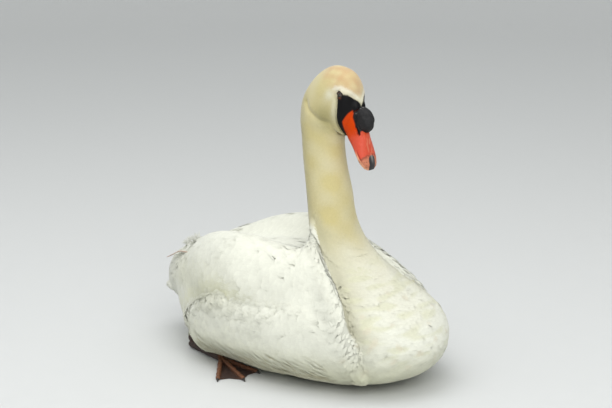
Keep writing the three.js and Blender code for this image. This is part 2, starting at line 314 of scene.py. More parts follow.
def joined(shells: list[Shell]) -> Shell:
    """Several shells as one."""
    offsets = np.cumsum([0] + [len(s.vertices) for s in shells[:-1]])
    return Shell(
        np.concatenate([s.vertices for s in shells]),
        np.concatenate([s.triangles + o for s, o in zip(shells, offsets)]),
        np.concatenate([s.quads + o for s, o in zip(shells, offsets)]),
    )


def make_mesh(name: str, shell: Shell, colour: tuple | None = None) -> Mesh:
    """Puts a shell into a smooth-shaded mesh in metres.

    Args:
        name: Name of the mesh.
        shell: The shell, in millimetres.
        colour: One linear colour for the whole mesh, if it has only one.

    Returns:
        The mesh.
    """
    mesh = bpy.data.meshes.new(name)
    nt, nq = len(shell.triangles), len(shell.quads)
    corners = np.concatenate([shell.triangles.ravel(), shell.quads.ravel()]).astype(np.int32)
    starts = np.concatenate([np.arange(nt) * 3, nt * 3 + np.arange(nq) * 4]).astype(np.int32)
    mesh.vertices.add(len(shell.vertices))
    mesh.vertices.foreach_set("co", (shell.vertices * MM).astype(np.float32).ravel())
    mesh.loops.add(len(corners))
    mesh.loops.foreach_set("vertex_index", corners)
    mesh.polygons.add(nt + nq)
    mesh.polygons.foreach_set("loop_start", starts)
    mesh.polygons.foreach_set("use_smooth", np.ones(nt + nq, bool))
    mesh.update(calc_edges=True)
    if colour:
        set_tint(mesh, colour)
    return mesh


def set_tint(mesh: Mesh, colours: Array | tuple) -> None:
    """Stores a linear colour for every vertex, or one for all.

    Args:
        mesh: Mesh to colour.
        colours: Colour of each vertex, or one.
    """
    rgba = np.ones((len(mesh.vertices), 4), np.float32)
    rgba[:, :3] = colours
    layer = mesh.color_attributes.new("Tint", "FLOAT_COLOR", "POINT")
    layer.data.foreach_set("color", rgba.ravel())


def set_vane(mesh: Mesh, places: Array, bake: Array) -> None:
    """Stores the places along and across the vanes, and the baking layout.

    Args:
        mesh: Mesh of feathers.
        places: Share along, share across and seed of the vane, at each vertex.
        bake: Place on the baking layout for each corner of the faces.
    """
    layer = mesh.attributes.new("Vane", "FLOAT_VECTOR", "POINT")
    layer.data.foreach_set("vector", places.astype(np.float32).ravel())
    mesh.uv_layers.new(name="OFBake").uv.foreach_set("vector", bake.astype(np.float32).ravel())


def fetch(items: bpy_prop_collection, name: str, kind: type = np.int32) -> Array:
    """One number of every vertex, loop or face of a mesh."""
    values = np.zeros(len(items), kind)
    items.foreach_get(name, values)
    return values


def fetch_points(items: bpy_prop_collection, name: str = "co") -> Array:
    """Places of a mesh's vertices or faces, in millimetres."""
    flat = np.zeros(len(items) * 3, np.float32)
    items.foreach_get(name, flat)
    return flat.reshape(-1, 3).astype(float) / MM


def shown(name: str, data: ID) -> Object:
    """Puts a mesh, lamp or camera into the scene."""
    thing = bpy.data.objects.new(name, data)
    bpy.context.scene.collection.objects.link(thing)
    return thing


def place(mesh: Mesh, materials: list, replaces: tuple = ()) -> Object:
    """Shows a mesh as a piece of the bird.

    Args:
        mesh: The finished mesh, which names the piece.
        materials: Materials in the order of the mesh's indices.
        replaces: CAD nodes that the piece stands for.

    Returns:
        The piece.
    """
    piece = shown(mesh.name, mesh)
    kept = fetch(mesh.polygons, "material_index")
    for material in materials:
        mesh.materials.append(material)
    mesh.polygons.foreach_set("material_index", kept)
    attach(piece, "root")
    if replaces:
        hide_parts(*replaces)
    LOG.info("%s: %d faces", piece.name, len(mesh.polygons))
    return piece


# ---- surfaces of the body ----


@dataclass(frozen=True)
class Loft:
    """A closed body through slanted sections across the middle plane.

    A station is back x, back z, belly x, belly z, half width, height share of the widest place,
    and the exponents of the curve above and below it.
    """

    stations: tuple

    def knots(self) -> Array:
        """Mean distance along the back and the belly up to each station."""
        rows = np.array(self.stations, float)
        back = np.hypot(*np.diff(rows[:, 0:2], axis=0).T)
        belly = np.hypot(*np.diff(rows[:, 2:4], axis=0).T)
        return np.concatenate([[0.0], np.cumsum((back + belly) / 2)])

    def grid(self, at: Array, around: int) -> Array:
        """Rings of points.

        Formula: from the back point, an angle phi turns towards the right side; the height is the
        signed power 2/p of cos phi and the side the signed power 2/p of sin phi.

        Args:
            at: Parameters of the rings, in the units of the knots.
            around: Points of a ring.

        Returns:
            Rings x points x 3, in millimetres.
        """
        v = hermite(self.knots(), np.array(self.stations, float), at)
        phi = turns(around)
        c, s = np.cos(phi)[None], np.sin(phi)[None]
        back, belly = v[:, None, 0:2], v[:, None, 2:4]
        middle = belly + v[:, None, 5:6] * (back - belly)
        power = 2 / np.where(c > 0, v[:, 6:7], v[:, 7:8])
        rise = (np.sign(c) * np.abs(c) ** power)[..., None]
        arm = np.where((c > 0)[..., None], back - middle, middle - belly)
        xz = middle + rise * arm
        y = -np.sign(s) * np.abs(s) ** power * v[:, 4:5]
        return xyz(xz[..., 0], y, xz[..., 1])


@dataclass(frozen=True)
class Lobe:
    """A closed body of upright ellipses: x, centre y, centre z, half width, half height."""

    stations: tuple

    def sections(self, x: Array) -> Array:
        """Centre y, centre z, half width and half height at each x."""
        rows = np.array(self.stations, float)
        return hermite(-rows[:, 0], rows[:, 1:], -x)

    def grid(self, rings: int, around: int, shrink: float) -> Array:
        """Rings of the ellipse, closer together near both ends.

        Args:
            rings: Number of rings.
            around: Points of a ring.
            shrink: Millimetres taken off every radius.

        Returns:
            Rings x points x 3.
        """
        x0, x1 = self.stations[0][0], self.stations[-1][0]
        ease = (1 - np.cos(np.linspace(0, math.pi, rings))) / 2
        x = (x0 - shrink) + (x1 - x0 + 2 * shrink) * ease
        v = self.sections(x0 + (x1 - x0) * ease)
        phi = turns(around)
        keep = np.maximum(v[:, 2:4] - shrink, 0.4)
        y = v[:, 0:1] + keep[:, 0:1] * np.sin(phi)
        z = v[:, 1:2] + keep[:, 1:2] * np.cos(phi)
        return xyz(x[:, None], y, z)


class Surface:
    """A ring grid with its normals and slopes, read between its rows and columns."""

    def __init__(self, points: Array) -> None:
        """Works out slopes and outward normals of a grid that closes across its columns.

        Args:
            points: Rings x points x 3.
        """
        self.points = points
        self.rows, self.columns = points.shape[:2]
        self.along = np.gradient(points, axis=0)
        self.across = (np.roll(points, -1, 1) - np.roll(points, 1, 1)) / 2
        self.row_run = (np.linalg.norm(self.along, axis=-1).mean(1)[:, None, None]
                        + np.zeros((1, self.columns, 1)))
        self.column_run = (np.linalg.norm(self.across, axis=-1).mean(1)[:, None, None]
                           + np.zeros((1, self.columns, 1)))
        normals = unit(np.cross(self.across, self.along))
        outward = ((points - points.mean(1, keepdims=True)) * normals).sum()
        self.normals = normals if outward > 0 else -normals

    def read(self, grid: Array, row: Array, column: Array) -> Array:
        """Bilinear value of a grid at fractional rows and columns.

        Args:
            grid: Values at the grid's points.
            row: Rows of the places.
            column: Columns of the places.

        Returns:
            One value for each place.
        """
        r = np.clip(row, 0, self.rows - 1.0001)
        r0 = r.astype(int)
        c0 = np.floor(column).astype(int)
        fr, fc = (r - r0)[..., None], (column - c0)[..., None]
        c0, c1 = c0 % self.columns, (c0 + 1) % self.columns
        near = grid[r0, c0] * (1 - fc) + grid[r0, c1] * fc
        far = grid[r0 + 1, c0] * (1 - fc) + grid[r0 + 1, c1] * fc
        return near * (1 - fr) + far * fr

    def at(self, row: Array, column: Array) -> Pair:
        """Points and unit normals, carried straight on beyond the first and last ring.

        Args:
            row: Rows of the places.
            column: Columns of the places.

        Returns:
            Points and unit normals.
        """
        held = np.clip(row, 0, self.rows - 1.0001)
        points = self.read(self.points, row, column)
        points = points + self.read(self.along, row, column) * (row - held)[..., None]
        return points, unit(self.read(self.normals, row, column))

    def nearest(self, spots: Array) -> Pair:
        """Rows and columns of the grid points nearest to points in space."""
        flat = self.points.reshape(-1, 3)
        found = np.array([int(np.argmin(((flat - spot) ** 2).sum(-1))) for spot in spots])
        return (found // self.columns).astype(float), (found % self.columns).astype(float)

    def steps(self, row: Array, column: Array, direction: Array) -> Pair:
        """Grid steps for one millimetre along a direction.

        Formula: the direction's parts along the two slopes, by the inverse of their 2 x 2 products,
        damped where rows or columns pinch together.

        Args:
            row: Rows of the places.
            column: Columns of the places.
            direction: Unit tangent wanted at each place.

        Returns:
            Steps in rows and in columns.
        """
        a, b = self.read(self.along, row, column), self.read(self.across, row, column)
        row_run = self.read(self.row_run, row, column)[..., 0]
        column_run = self.read(self.column_run, row, column)[..., 0]
        aa = (a * a).sum(-1) + (0.3 * row_run) ** 2
        bb = (b * b).sum(-1) + (0.25 * column_run) ** 2 + 0.02
        ab = (a * b).sum(-1)
        ta, tb = (a * direction).sum(-1), (b * direction).sum(-1)
        det = np.maximum(aa * bb - ab * ab, 0.08 * aa * bb)
        return (ta * bb - tb * ab) / det, (tb * aa - ta * ab) / det


# ---- shape of this bird ----

TRUNK_STATIONS = (
    (-222, 104, -222, 88, 8, 0.5, 2, 2),
    (-212, 124, -212, 68, 40, 0.5, 2, 2),
    (-176, 150, -174, 34, 80, 0.45, 2, 2.1),
    (-116, 176, -114, 3, 120, 0.42, 2, 2.4),
    (-30, 196, -30, -4, 142, 0.42, 2, 2.5),
    (56, 203, 100, -4, 146, 0.42, 2, 2.5),
    (76, 208, 200, 3, 138, 0.42, 2, 2.4),
    (78, 214, 272, 28, 126, 0.42, 2, 2.2),
    (74, 224, 298, 64, 112, 0.45, 2, 2),
    (70, 234, 276, 104, 93, 0.48, 2, 2),
    (66, 244, 230, 140, 74, 0.5, 2, 2),
    (61, 256, 188, 174, 58, 0.5, 2, 2),
    (57, 272, 154, 208, 47, 0.5, 2, 2),
    (53, 292, 133, 248, 40, 0.5, 2, 2),
    (48, 316, 126, 290, 36.5, 0.5, 2, 2),
    (43, 348, 115, 335, 34, 0.5, 2, 2),
    (40, 384, 110, 368, 33.5, 0.5, 2, 2),
    (37, 414, 111, 379, 33.5, 0.5, 2, 2),
    (43, 446, 113, 385, 33, 0.5, 2, 2),
)
HEAD_STATIONS = (
    (-44, 12, 34, -59, 31.5, 0.55, 2, 2.2),
    (-20, 25, 36, -58, 30, 0.55, 2, 2.2),
    (2, 21, 39, -56.5, 27, 0.55, 2, 2.2),
    (17, 10, 43, -54, 22, 0.55, 2, 2.2),
    (28, 0, 48, -50, 17.5, 0.55, 2, 2.2),
)
BILL_STATIONS = (
    (24, 2, 44, -49, 17.5, 0.5, 2, 2.2),
    (36, -3, 49, -49, 16.5, 0.45, 2, 2.2),
    (50, -10, 55, -50, 15.8, 0.42, 2, 2.3),
    (70, -20, 68, -51, 15.8, 0.4, 2, 2.4),
    (88, -31, 86, -53, 18.6, 0.4, 2.1, 2.4),
    (103, -40.5, 101, -55, 17.6, 0.4, 2.2, 2.4),
    (110, -46, 109, -55.5, 13.2, 0.4, 2.1, 2),
    (113, -50.5, 112, -55.2, 6.5, 0.4, 2, 2),
)
WING_STATIONS = (
    (218, -100, 94, 4, 8),
    (207, -98, 98, 15, 28),
    (178, -87, 108, 29, 50),
    (140, -79, 120, 37, 69),
    (104, -77, 131, 43, 84),
    (60, -84, 138, 50, 88),
    (-16, -90, 142, 56, 89),
    (-90, -75, 137, 53, 81),
    (-160, -47, 122, 43, 62.5),
    (-212, -27, 111, 32, 47),
    (-238, -18, 105, 24, 37),
    (-252, -13, 100, 16, 24),
    (-259, -11, 98, 6, 8),
)
TAIL_STATIONS = (
    (-180, 0, 94, 46, 28),
    (-210, 0, 89, 48, 22),
    (-238, 0, 84, 40, 14),
    (-256, 0, 81, 30, 9),
    (-266, 0, 80, 19, 5),
    (-270, 0, 80, 6, 2),
)
# crease between the breast and the folded wing, right side, from the neck's foot to the floor
CREASE = ((90, -43, 255), (112, -56, 224), (138, -68, 200), (176, -86, 166), (199, -100, 136),
          (213, -109, 114), (230, -109, 96), (238, -104, 58), (236, -98, 24))
# upper edge of the loose flank feathers: x and height
FLANK_EDGE = ((-122, 60), (-100, 84), (-78, 103), (-37, 122), (-10, 130), (2, 122), (41, 120),
              (86, 122), (113, 131), (145, 131), (182, 119), (210, 90))
NAIL_FORWARD = 101.0
# two ends of the line between the bill's halves, forwards and upwards of the eye
GAPE = ((40, -38), (110, -53))
# how far the wing's end and the tail lie inside their outlines, under the feathers
WING_SHRINK, TAIL_SHRINK = 6.0, 4.0
JAW = ((-34, -60), (-21, -63), (4.5, -58), (28, -46))
# outline of the bare lores, of the orange patch, and half width of the forehead's white wedge
LORE = ((-4.6, -2.5), (-3.8, 1.2), (0, 4.2), (4.5, 4.4), (8, 7), (13, 12), (20, 14), (30, 14),
        (50, 12), (50, -20), (52, -46), (45, -48.5), (38, -43.5), (28.5, -36), (21.5, -28.5),
        (15.2, -19.6), (10.4, -13.4), (5.4, -7.6), (-0.5, -4.2))
ORANGE = ((29.5, -5.5), (37, -13.5), (47, -18.2), (55, -23), (61, -25.6), (65.5, -25.8),
          (65, -23.2), (61.5, -20), (62, -13), (80, -10), (122, -40), (118, -66), (60, -56),
          (50, -46.5), (43.5, -40.5), (36.5, -34), (32.2, -29), (30.6, -21), (29.2, -12))
FOREHEAD = ((3.5, 0), (5, 25), (12, 18), (18.5, 10.8), (24, 5), (29, 0))


def above_gape(f: Array, u: Array) -> Array:
    """Height over the line between the bill's halves, in the head's level coordinates."""
    (f0, u0), (f1, u1) = GAPE
    return u - (u0 + (f - f0) * (u1 - u0) / (f1 - f0))


def edge_height(x: Array) -> Array:
    """Height of the loose flank feathers' upper edge at each x."""
    return np.interp(x, *np.array(FLANK_EDGE, float).T)


def ripple(points: Array) -> Array:
    """Height of the soft rows across the breast: waves about 9 mm apart, several times as long."""
    return waves(points * np.array([0.5, 0.3, 1.9]), 17, 8)


def bare_depth(points: Array) -> Array:
    """Signed distance into the bare lores: inside their outline, outside the white wedge.

    Args:
        points: Places on the head.

    Returns:
        Millimetres for each place.
    """
    f, u = head_level(points)
    wedge = np.array(FOREHEAD, float)
    half = np.interp(f, wedge[:, 0], wedge[:, 1])
    past = np.where(u > -6, (np.abs(points[..., 1]) - half) * 0.8, 9.0)
    return np.minimum(inside_depth(f, u, LORE), past)


def coat_depth(station: Array) -> Array:
    """Thickness of the coat by station: 5 mm on the body, thinner up the neck to the lores."""
    stops = [0, 6, 10, 13, 18, 20, 22, 23]
    return np.interp(station, stops, [5.0, 5.0, 4.4, 3.4, 2.6, 2.0, 1.4, 1.0])


def drawn_in(points: Array) -> Array:
    """How far the left shoulder lies closer to the neck than the right one, at each point.

    Args:
        points: Places on the body.

    Returns:
        One move for each place.
    """
    x, y, z = points[..., 0], points[..., 1], points[..., 2]
    share = smooth(22, 66, y) * smooth(75, 125, x) * smooth(265, 225, x)
    share = share * smooth(100, 150, z) * smooth(275, 245, z)
    return share[..., None] * np.array([0.0, -9.0, -4.5])


def crease_side(points: Array) -> Array:
    """Signed distance from the crease, more than nothing on the wing's side of it.

    Args:
        points: Places on either side of the bird.

    Returns:
        Millimetres for each place.
    """
    points = points - drawn_in(points)
    folded = xyz(points[..., 0], -np.abs(points[..., 1]), points[..., 2])
    distance, arrow = polyline_distance(folded, np.array(CREASE, float))
    return distance * np.sign(arrow @ np.array([-1.0, -0.45, 0.35]))


def level_station(row: tuple) -> tuple:
    """A station given in head-level coordinates, in the bird's own frame."""
    return (*head_point(row[0], row[1]), *head_point(row[2], row[3]), *row[4:])


@dataclass
class Body:
    """The bird's outer form and, a coat's depth inside it, the skin that the feathers stand on."""

    neck_station: int = 12
    head_station: int = 18
    trunk_step: float = 3.2
    neck_step: float = 2.6
    head_step: float = 1.2
    around: int = 144
    floor_gap: float = 0.35
    push_rounds: int = 9
    soft_rounds: int = 40
    loft: Loft = field(init=False)
    wing: Lobe = field(init=False)
    skin: Surface = field(init=False)
    station_rows: Array = field(init=False)

    def __post_init__(self) -> None:
        """Lays out the rings and presses the coat's depth, the folds and the bulges into them."""
        head = tuple(level_station(row) for row in HEAD_STATIONS)
        self.loft = Loft(TRUNK_STATIONS + head)
        self.wing = Lobe(WING_STATIONS)
        knots = self.loft.knots()
        neck, crown = knots[self.neck_station], knots[self.head_station]
        at = np.concatenate([
            np.arange(0.0, neck, self.trunk_step),
            np.arange(neck, crown, self.neck_step),
            np.arange(crown, knots[-1], self.head_step),
            knots[-1:],
        ])
        self.station_rows = np.interp(knots, at, np.arange(len(at)))
        outer = self.loft.grid(at, self.around)
        outer = self.softened(outer + self.wing_push(outer))
        outer = outer + drawn_in(outer)
        base = Surface(outer)
        inner = outer + base.normals * self.relief(outer, at)[..., None]
        inner[..., 2] = np.maximum(inner[..., 2], self.floor_gap)
        self.skin = Surface(inner)

    def station(self, row: Array) -> Array:
        """Station number, with fractions, of a grid row."""
        return np.interp(row, self.station_rows, np.arange(len(self.station_rows)))

    def wing_push(self, points: Array) -> Array:
        """Moves the trunk's side out to the folded wing.

        Formula: where a point lies inside the wing's ellipse, it goes outwards and upwards in its
        own cross plane until the ellipse's equation is one; the distances are then softened.

        Args:
            points: Ring grid of the bare trunk.

        Returns:
            The moves, one vector for each point.
        """
        normals = Surface(points).normals
        x = points[..., 0]
        centre_y, centre_z, half_y, half_z = np.moveaxis(self.wing.sections(x), -1, 0)
        lower = smooth(45, 95, x) * smooth(218, 185, x) * (points[..., 1] > 0)
        centre_z, half_y = centre_z - 24 * lower, half_y - 9 * lower
        side = np.where(points[..., 1] < 0, 1.0, -1.0)
        qy = (points[..., 1] - side * centre_y) / half_y
        qz = (points[..., 2] - centre_z) / half_z
        out = normals * np.array([0.0, 1.0, 1.0])
        out[..., 1] -= 0.5 * side * np.clip(-qy * side, 0, 1)
        out[..., 2] += 0.35 * qz
        out = unit(out)
        ny, nz = out[..., 1] / half_y, out[..., 2] / half_z
        a, b, c = ny**2 + nz**2 + 1e-9, qy * ny + qz * nz, qy**2 + qz**2 - 1
        reach = (-b + np.sqrt(np.maximum(b * b - a * c, 0))) / a
        reach = np.where((c < 0) & (x < 217), np.clip(reach, 0, 60), 0.0) * smooth(-214, -182, x)
        move = out * reach[..., None]
        for _ in range(self.push_rounds):
            move = (np.roll(move, 1, 1) + 2 * move + np.roll(move, -1, 1)) / 4
            move[1:-1] = (move[:-2] + 2 * move[1:-1] + move[2:]) / 4
        return move

    def softened(self, points: Array) -> Array:
        """Lets the folded wing run smoothly into the back and the neck's foot.

        Formula: each point moves towards the mean of its four neighbours, again and again, most
        where the shoulder meets the neck.

        Args:
            points: Ring grid with the wing's swelling.

        Returns:
            The softened grid.
        """
        x, y, z = points[..., 0], np.abs(points[..., 1]), points[..., 2]
        shoulder = smooth(-20, 40, x) * smooth(215, 150, x) * smooth(28, 45, y)
        shoulder = shoulder * smooth(150, 185, z)
        share = np.maximum(shoulder, 0.25 * smooth(20, 50, y) * smooth(130, 60, x))
        foot = bell((x - 72) / 45, (y - 36) / 26, (z - 228) / 30)
        share = np.maximum(share * smooth(262, 240, z), foot)[..., None] * 0.5
        points = points.copy()
        for _ in range(self.soft_rounds):
            mean = (np.roll(points, 1, 1) + np.roll(points, -1, 1)) / 4
            mean[1:-1] += (points[:-2] + points[2:]) / 4
            mean[[0, -1]] = points[[0, -1]]
            points = points + share * (mean - points)
        return points

    def depth(self, points: Array, rows: Array) -> Array:
        """Thickness of the coat over points at given stations, nothing on the bare lores.

        Args:
            points: Places on the outer form.
            rows: Station number of each ring.

        Returns:
            Millimetres for each place.
        """
        covered = 1 - smooth(-3.5, 0.4, bare_depth(points))
        return coat_depth(rows) * np.where(rows > 18.5, covered, 1.0)

    def relief(self, points: Array, at: Array) -> Array:
        """Height of the skin over the outer form, which is mostly below it.

        Formula: minus the coat's depth; a groove along the crease, a swelling behind it and over
        the flank; soft waves over the sides; a groove under the jaw.

        Args:
            points: Ring grid of the outer form.
            at: Parameter of each ring.

        Returns:
            Millimetres along the outward normal.
        """
        x, side, z = points[..., 0], np.abs(points[..., 1]), points[..., 2]
        behind = crease_side(points)
        lower = smooth(250, 215, z)
        knots = self.loft.knots()
        rows = np.interp(at, knots, np.arange(len(knots)))[:, None]
        relief = -self.depth(points, rows)
        groove = bell(behind / np.where(behind > 0, 5.5, 14.0))
        relief = relief - 8.0 * groove * (0.4 + 0.6 * lower)
        relief += 5.0 * bell((behind - 17) / 15) * lower
        fall = edge_height(x) - z
        flank = smooth(-4, 7, fall) * smooth(-125, -95, x)
        flank = flank * smooth(190, 60, x) * smooth(95, 120, side)
        relief += (5.5 + 2 * smooth(20, -30, x)) * flank * smooth(120, 55, fall)
        relief += smooth(70, 105, side) * (1.3 * waves(points, 70, 5) + 0.4 * waves(points, 26, 6))
        breast = smooth(6.2, 7.2, rows) * smooth(11.2, 9.6, rows)
        relief += 0.9 * breast * ripple(points)
        f, u = head_level(points)
        jaw, _ = polyline_distance(np.stack([f, u], -1), np.array(JAW, float))
        fold = smooth(6, 14, side) * smooth(26, 12, f)
        relief -= 3.0 * bell(jaw / 5.0) * fold
        brow = bell((f + 1) / 8, (u - 7.5) / 3.2)
        relief += 0.9 * brow * smooth(15, 22, side)
        front = bell((f - 26) / 9) * smooth(16, 4, side) * smooth(-12, -2, u)
        relief += 2.4 * front
        beside = bell((f - 29) / 7, (side - 9) / 5)
        relief += 3.0 * beside * smooth(-12, -2, u) * smooth(360, 380, z)
        socket = bell((f / 4.7) ** 2 + (u / 3.9) ** 2) * smooth(12, 18, side)
        return relief - 3.2 * socket


# ---- markings ----


@dataclass(frozen=True)
class Markings:
    """Colours of plumage, lores, bill and legs as functions of place, in linear light."""

    white: tuple = (0.66, 0.665, 0.575)
    cream: tuple = (0.53, 0.462, 0.225)
    crown: tuple = (0.48, 0.335, 0.172)
    # painted shade: the olive darkening over the lower cheek, down the nape and beside the crease
    painted_shade: tuple = (0.28, 0.25, 0.10)
    stain: tuple = (0.58, 0.53, 0.40)
    # furrow: olive of painted shade and painted bounced light, used low on the body, in the
    # breast's ripple troughs, in the side's hollow and above the flank edge
    furrow: tuple = (0.56, 0.56, 0.385)
    black: tuple = (0.0045, 0.0043, 0.0048)
    orange: tuple = (0.53, 0.045, 0.0003)
    # coral: the pinker tone towards the bill's tip, partly the bill's own colour and partly painted
    # light
    coral: tuple = (0.55, 0.076, 0.042)
    peach: tuple = (0.68, 0.33, 0.19)
    eye_rim: tuple = (0.10, 0.032, 0.014)
    shaft: tuple = (0.46, 0.30, 0.22)
    wet: tuple = (0.49, 0.465, 0.315)
    tan: tuple = (0.47, 0.205, 0.12)
    seam_red: tuple = (0.30, 0.02, 0.012)
    web: tuple = (0.045, 0.026, 0.021)
    # toe: the lighter, redder upper parts of the toes, partly their own colour and partly painted
    # light
    toe: tuple = (0.21, 0.082, 0.036)
    claw: tuple = (0.02, 0.016, 0.014)
    lid: tuple = (0.02, 0.016, 0.015)
    pupil: tuple = (0.004, 0.0035, 0.003)
    iris: tuple = (0.075, 0.032, 0.014)
    ball: tuple = (0.01, 0.007, 0.006)
    nail: tuple = (0.015, 0.014, 0.015)
    # nail_highlight: painted highlight, a grey strip down the middle of the nail
    nail_highlight: tuple = (0.2, 0.19, 0.18)
    knob: tuple = (0.007, 0.0068, 0.0075)
    knob_worn: tuple = (0.016, 0.0155, 0.0165)
    fleck: tuple = (0.3, 0.29, 0.27)

    def plumage(self, points: Array) -> Array:
        """Feather colour: white body, cream neck fading over the breast, a warmer crown, and
        painted shade.

        Args:
            points: Places on the bird.

        Returns:
            One colour for each place.
        """
        x, y, z = points[..., 0], np.abs(points[..., 1]), points[..., 2]
        above = z + 0.63 * (x - 276) - 104
        behind = crease_side(points)
        wing = smooth(-2.5, 2.5, behind) * smooth(256, 246, z)
        neck = smooth(-8, 62, above) * (1 - wing)
        neck = neck * (0.92 + 0.12 * waves(points, 38, 11))
        f, u = head_level(points)
        head = smooth(395, 430, z)
        warm = head * smooth(-14, 12, u) * smooth(30, 14, f)
        pale = head * bell((f - 16) / 13, (u - 1) / 7)
        pale = np.maximum(0.8 * pale, head * 0.55 * bell((f + 5) / 9, (u + 9) / 9))
        rim = bell((bare_depth(points) + 2.5) / 3.2) * (0.3 + 0.35 * smooth(-8, 4, u))
        pale = np.maximum(pale, head * rim)
        patchy = waves(points * [0.5, 0.5, 1.5], 24, 12)
        stained = smooth(34, 4, z) * 0.5 * smooth(-0.2, 0.9, patchy)
        front = smooth(190, 230, x) * smooth(200, 150, z) * smooth(30, 60, z)
        stained = np.maximum(stained, 0.5 * front * smooth(0.8, 1.1, waves(points, 26, 14)))
        warm = warm * (0.75 + 0.3 * waves(points, 17, 13))
        # Painted shade over the lower cheek.
        cheek_shade = smooth(385, 400, z) * bell((f - 8) / 20, (u + 44) / 17)
        # Painted shade down the back of the neck.
        middle = np.interp(z, (250, 300, 350, 420), (118, 90, 79, 76))
        nape_shade = smooth(225, 290, z) * smooth(2, -28, x - middle)
        # Painted shade on the breast's side of the crease, strongest close to it.
        strip = bell(np.minimum(behind + 4, 0) / 30) * smooth(2, -3, behind)
        strip = strip * smooth(60, 110, z) * smooth(275, 235, z)
        # Painted shade in the troughs of the breast's ripple.
        rows = smooth(110, 160, x) * smooth(215, 175, z) * smooth(-4, -16, behind)
        rows = rows * smooth(20, 50, z) * smooth(-0.1, 0.7, -ripple(points))
        # Painted shade in the side's hollow between the wing's ridge and the flank.
        flat = smooth(-235, -130, x) * smooth(60, -70, x) * smooth(80, 130, z) * smooth(200, 140, z)
        # Painted shadow in a band just above the flank feathers' upper edge.
        over = z - edge_height(x)
        edge_shadow = bell((over - 14) / 19) * smooth(3, 10, over) * smooth(70, 10, x) * smooth(75, 105, y)
        # Painted olive bounced light and shade low on the body, near the floor.
        low = smooth(90, 20, z) * smooth(320, 300, z)
        olive_shade = np.maximum(0.55 * rows, np.maximum(0.75 * low, 0.45 * flat * smooth(40, 85, y)))
        dark = np.maximum(0.8 * cheek_shade, 0.38 * nape_shade)
        return self.mix(
            self.white, (self.cream, neck), (self.crown, warm), (self.painted_shade, dark),
            (self.painted_shade, 0.48 * strip), (self.furrow, np.maximum(olive_shade, 0.7 * edge_shadow)),
            (self.white, pale), (self.stain, stained))

    def face(self, points: Array) -> Array:
        """Colour of the head's skin: black lores, an orange patch, cream under the feathers, with
        painted shade lower down.

        Args:
            points: Places on the skin.

        Returns:
            One colour for each place.
        """
        lore = smooth(-0.5, 0.5, bare_depth(points)) * smooth(380, 385, points[..., 2])
        # Painted shade: the skin below the neck, seen only between feathers, is darkened by up to a
        # fifth.
        covered = self.plumage(points) * (1 - 0.2 * smooth(330, 260, points[..., 2]))[..., None]
        f, u = head_level(points)
        rim = lore * bell((f - 4.6) / 2.2, (u + 2.6) / 1.8)
        return self.mix(covered, (self.black, lore), (self.eye_rim, rim),
                        (self.orange, self.orange_mask(points)))

    def orange_mask(self, points: Array) -> Array:
        """Where the bare skin and the bill are orange, not black."""
        f, u = head_level(points)
        return smooth(-0.8, 0.8, inside_depth(f, u, ORANGE)) * smooth(330, 340, points[..., 2])

    def bill(self, points: Array) -> Array:
        """Bill colour: orange at the base, coral towards the tip (partly painted light), a peach
        rim, black edges.

        Args:
            points: Places on the bill.

        Returns:
            One colour for each place.
        """
        f, u = head_level(points)
        side = np.abs(points[..., 1])
        # The turn to coral is partly the bill's own colour and partly painted light.
        turn = smooth(58, 76, f + 2.5 * waves(points, 9, 21) + 0.5 * side)
        above = above_gape(f, u)
        tip = smooth(76, 92, f)
        ridge = bell(side / 6.5) * smooth(62, 74, f) * smooth(102, 92, f)
        streak = ridge * smooth(0.0, 0.8, waves(points * np.array([0.5, 2.4, 0.5]), 7, 23))
        end = NAIL_FORWARD - 4
        horny = 0.8 * smooth(end - 3, end + 4, f) * smooth(1.5, 3, above)
        edge = bell((f - end) / 2.2) * smooth(-0.9, 0.5, waves(points, 4.5, 76))
        specks = np.maximum(smooth(95, 106, f) * smooth(0.45, 0.9, waves(points, 3.6, 75)), edge)
        return self.mix(
            self.orange, (self.coral, turn), (self.peach, tip * smooth(4.4, 3.2, above)),
            (self.seam_red, 0.9 * tip * bell((above - 4.9) / 1.2)), (self.peach, 0.6 * streak),
            (self.tan, horny), (self.web, 0.5 * specks),
            (self.black, 1 - self.orange_mask(points)))

    @staticmethod
    def mix(colour: Array | tuple, *layers: tuple) -> Array:
        """Mixes plain colours into others, one after another.

        Args:
            colour: Colours of the points, or one for all.
            layers: Pairs of a plain colour and its share at each point.

        Returns:
            The colours of the points.
        """
        for other, share in layers:
            share = np.clip(share, 0, 1)[..., None]
            colour = np.asarray(colour) * (1 - share) + np.array(other) * share
        return colour


MARKS = Markings()


# ---- materials ----


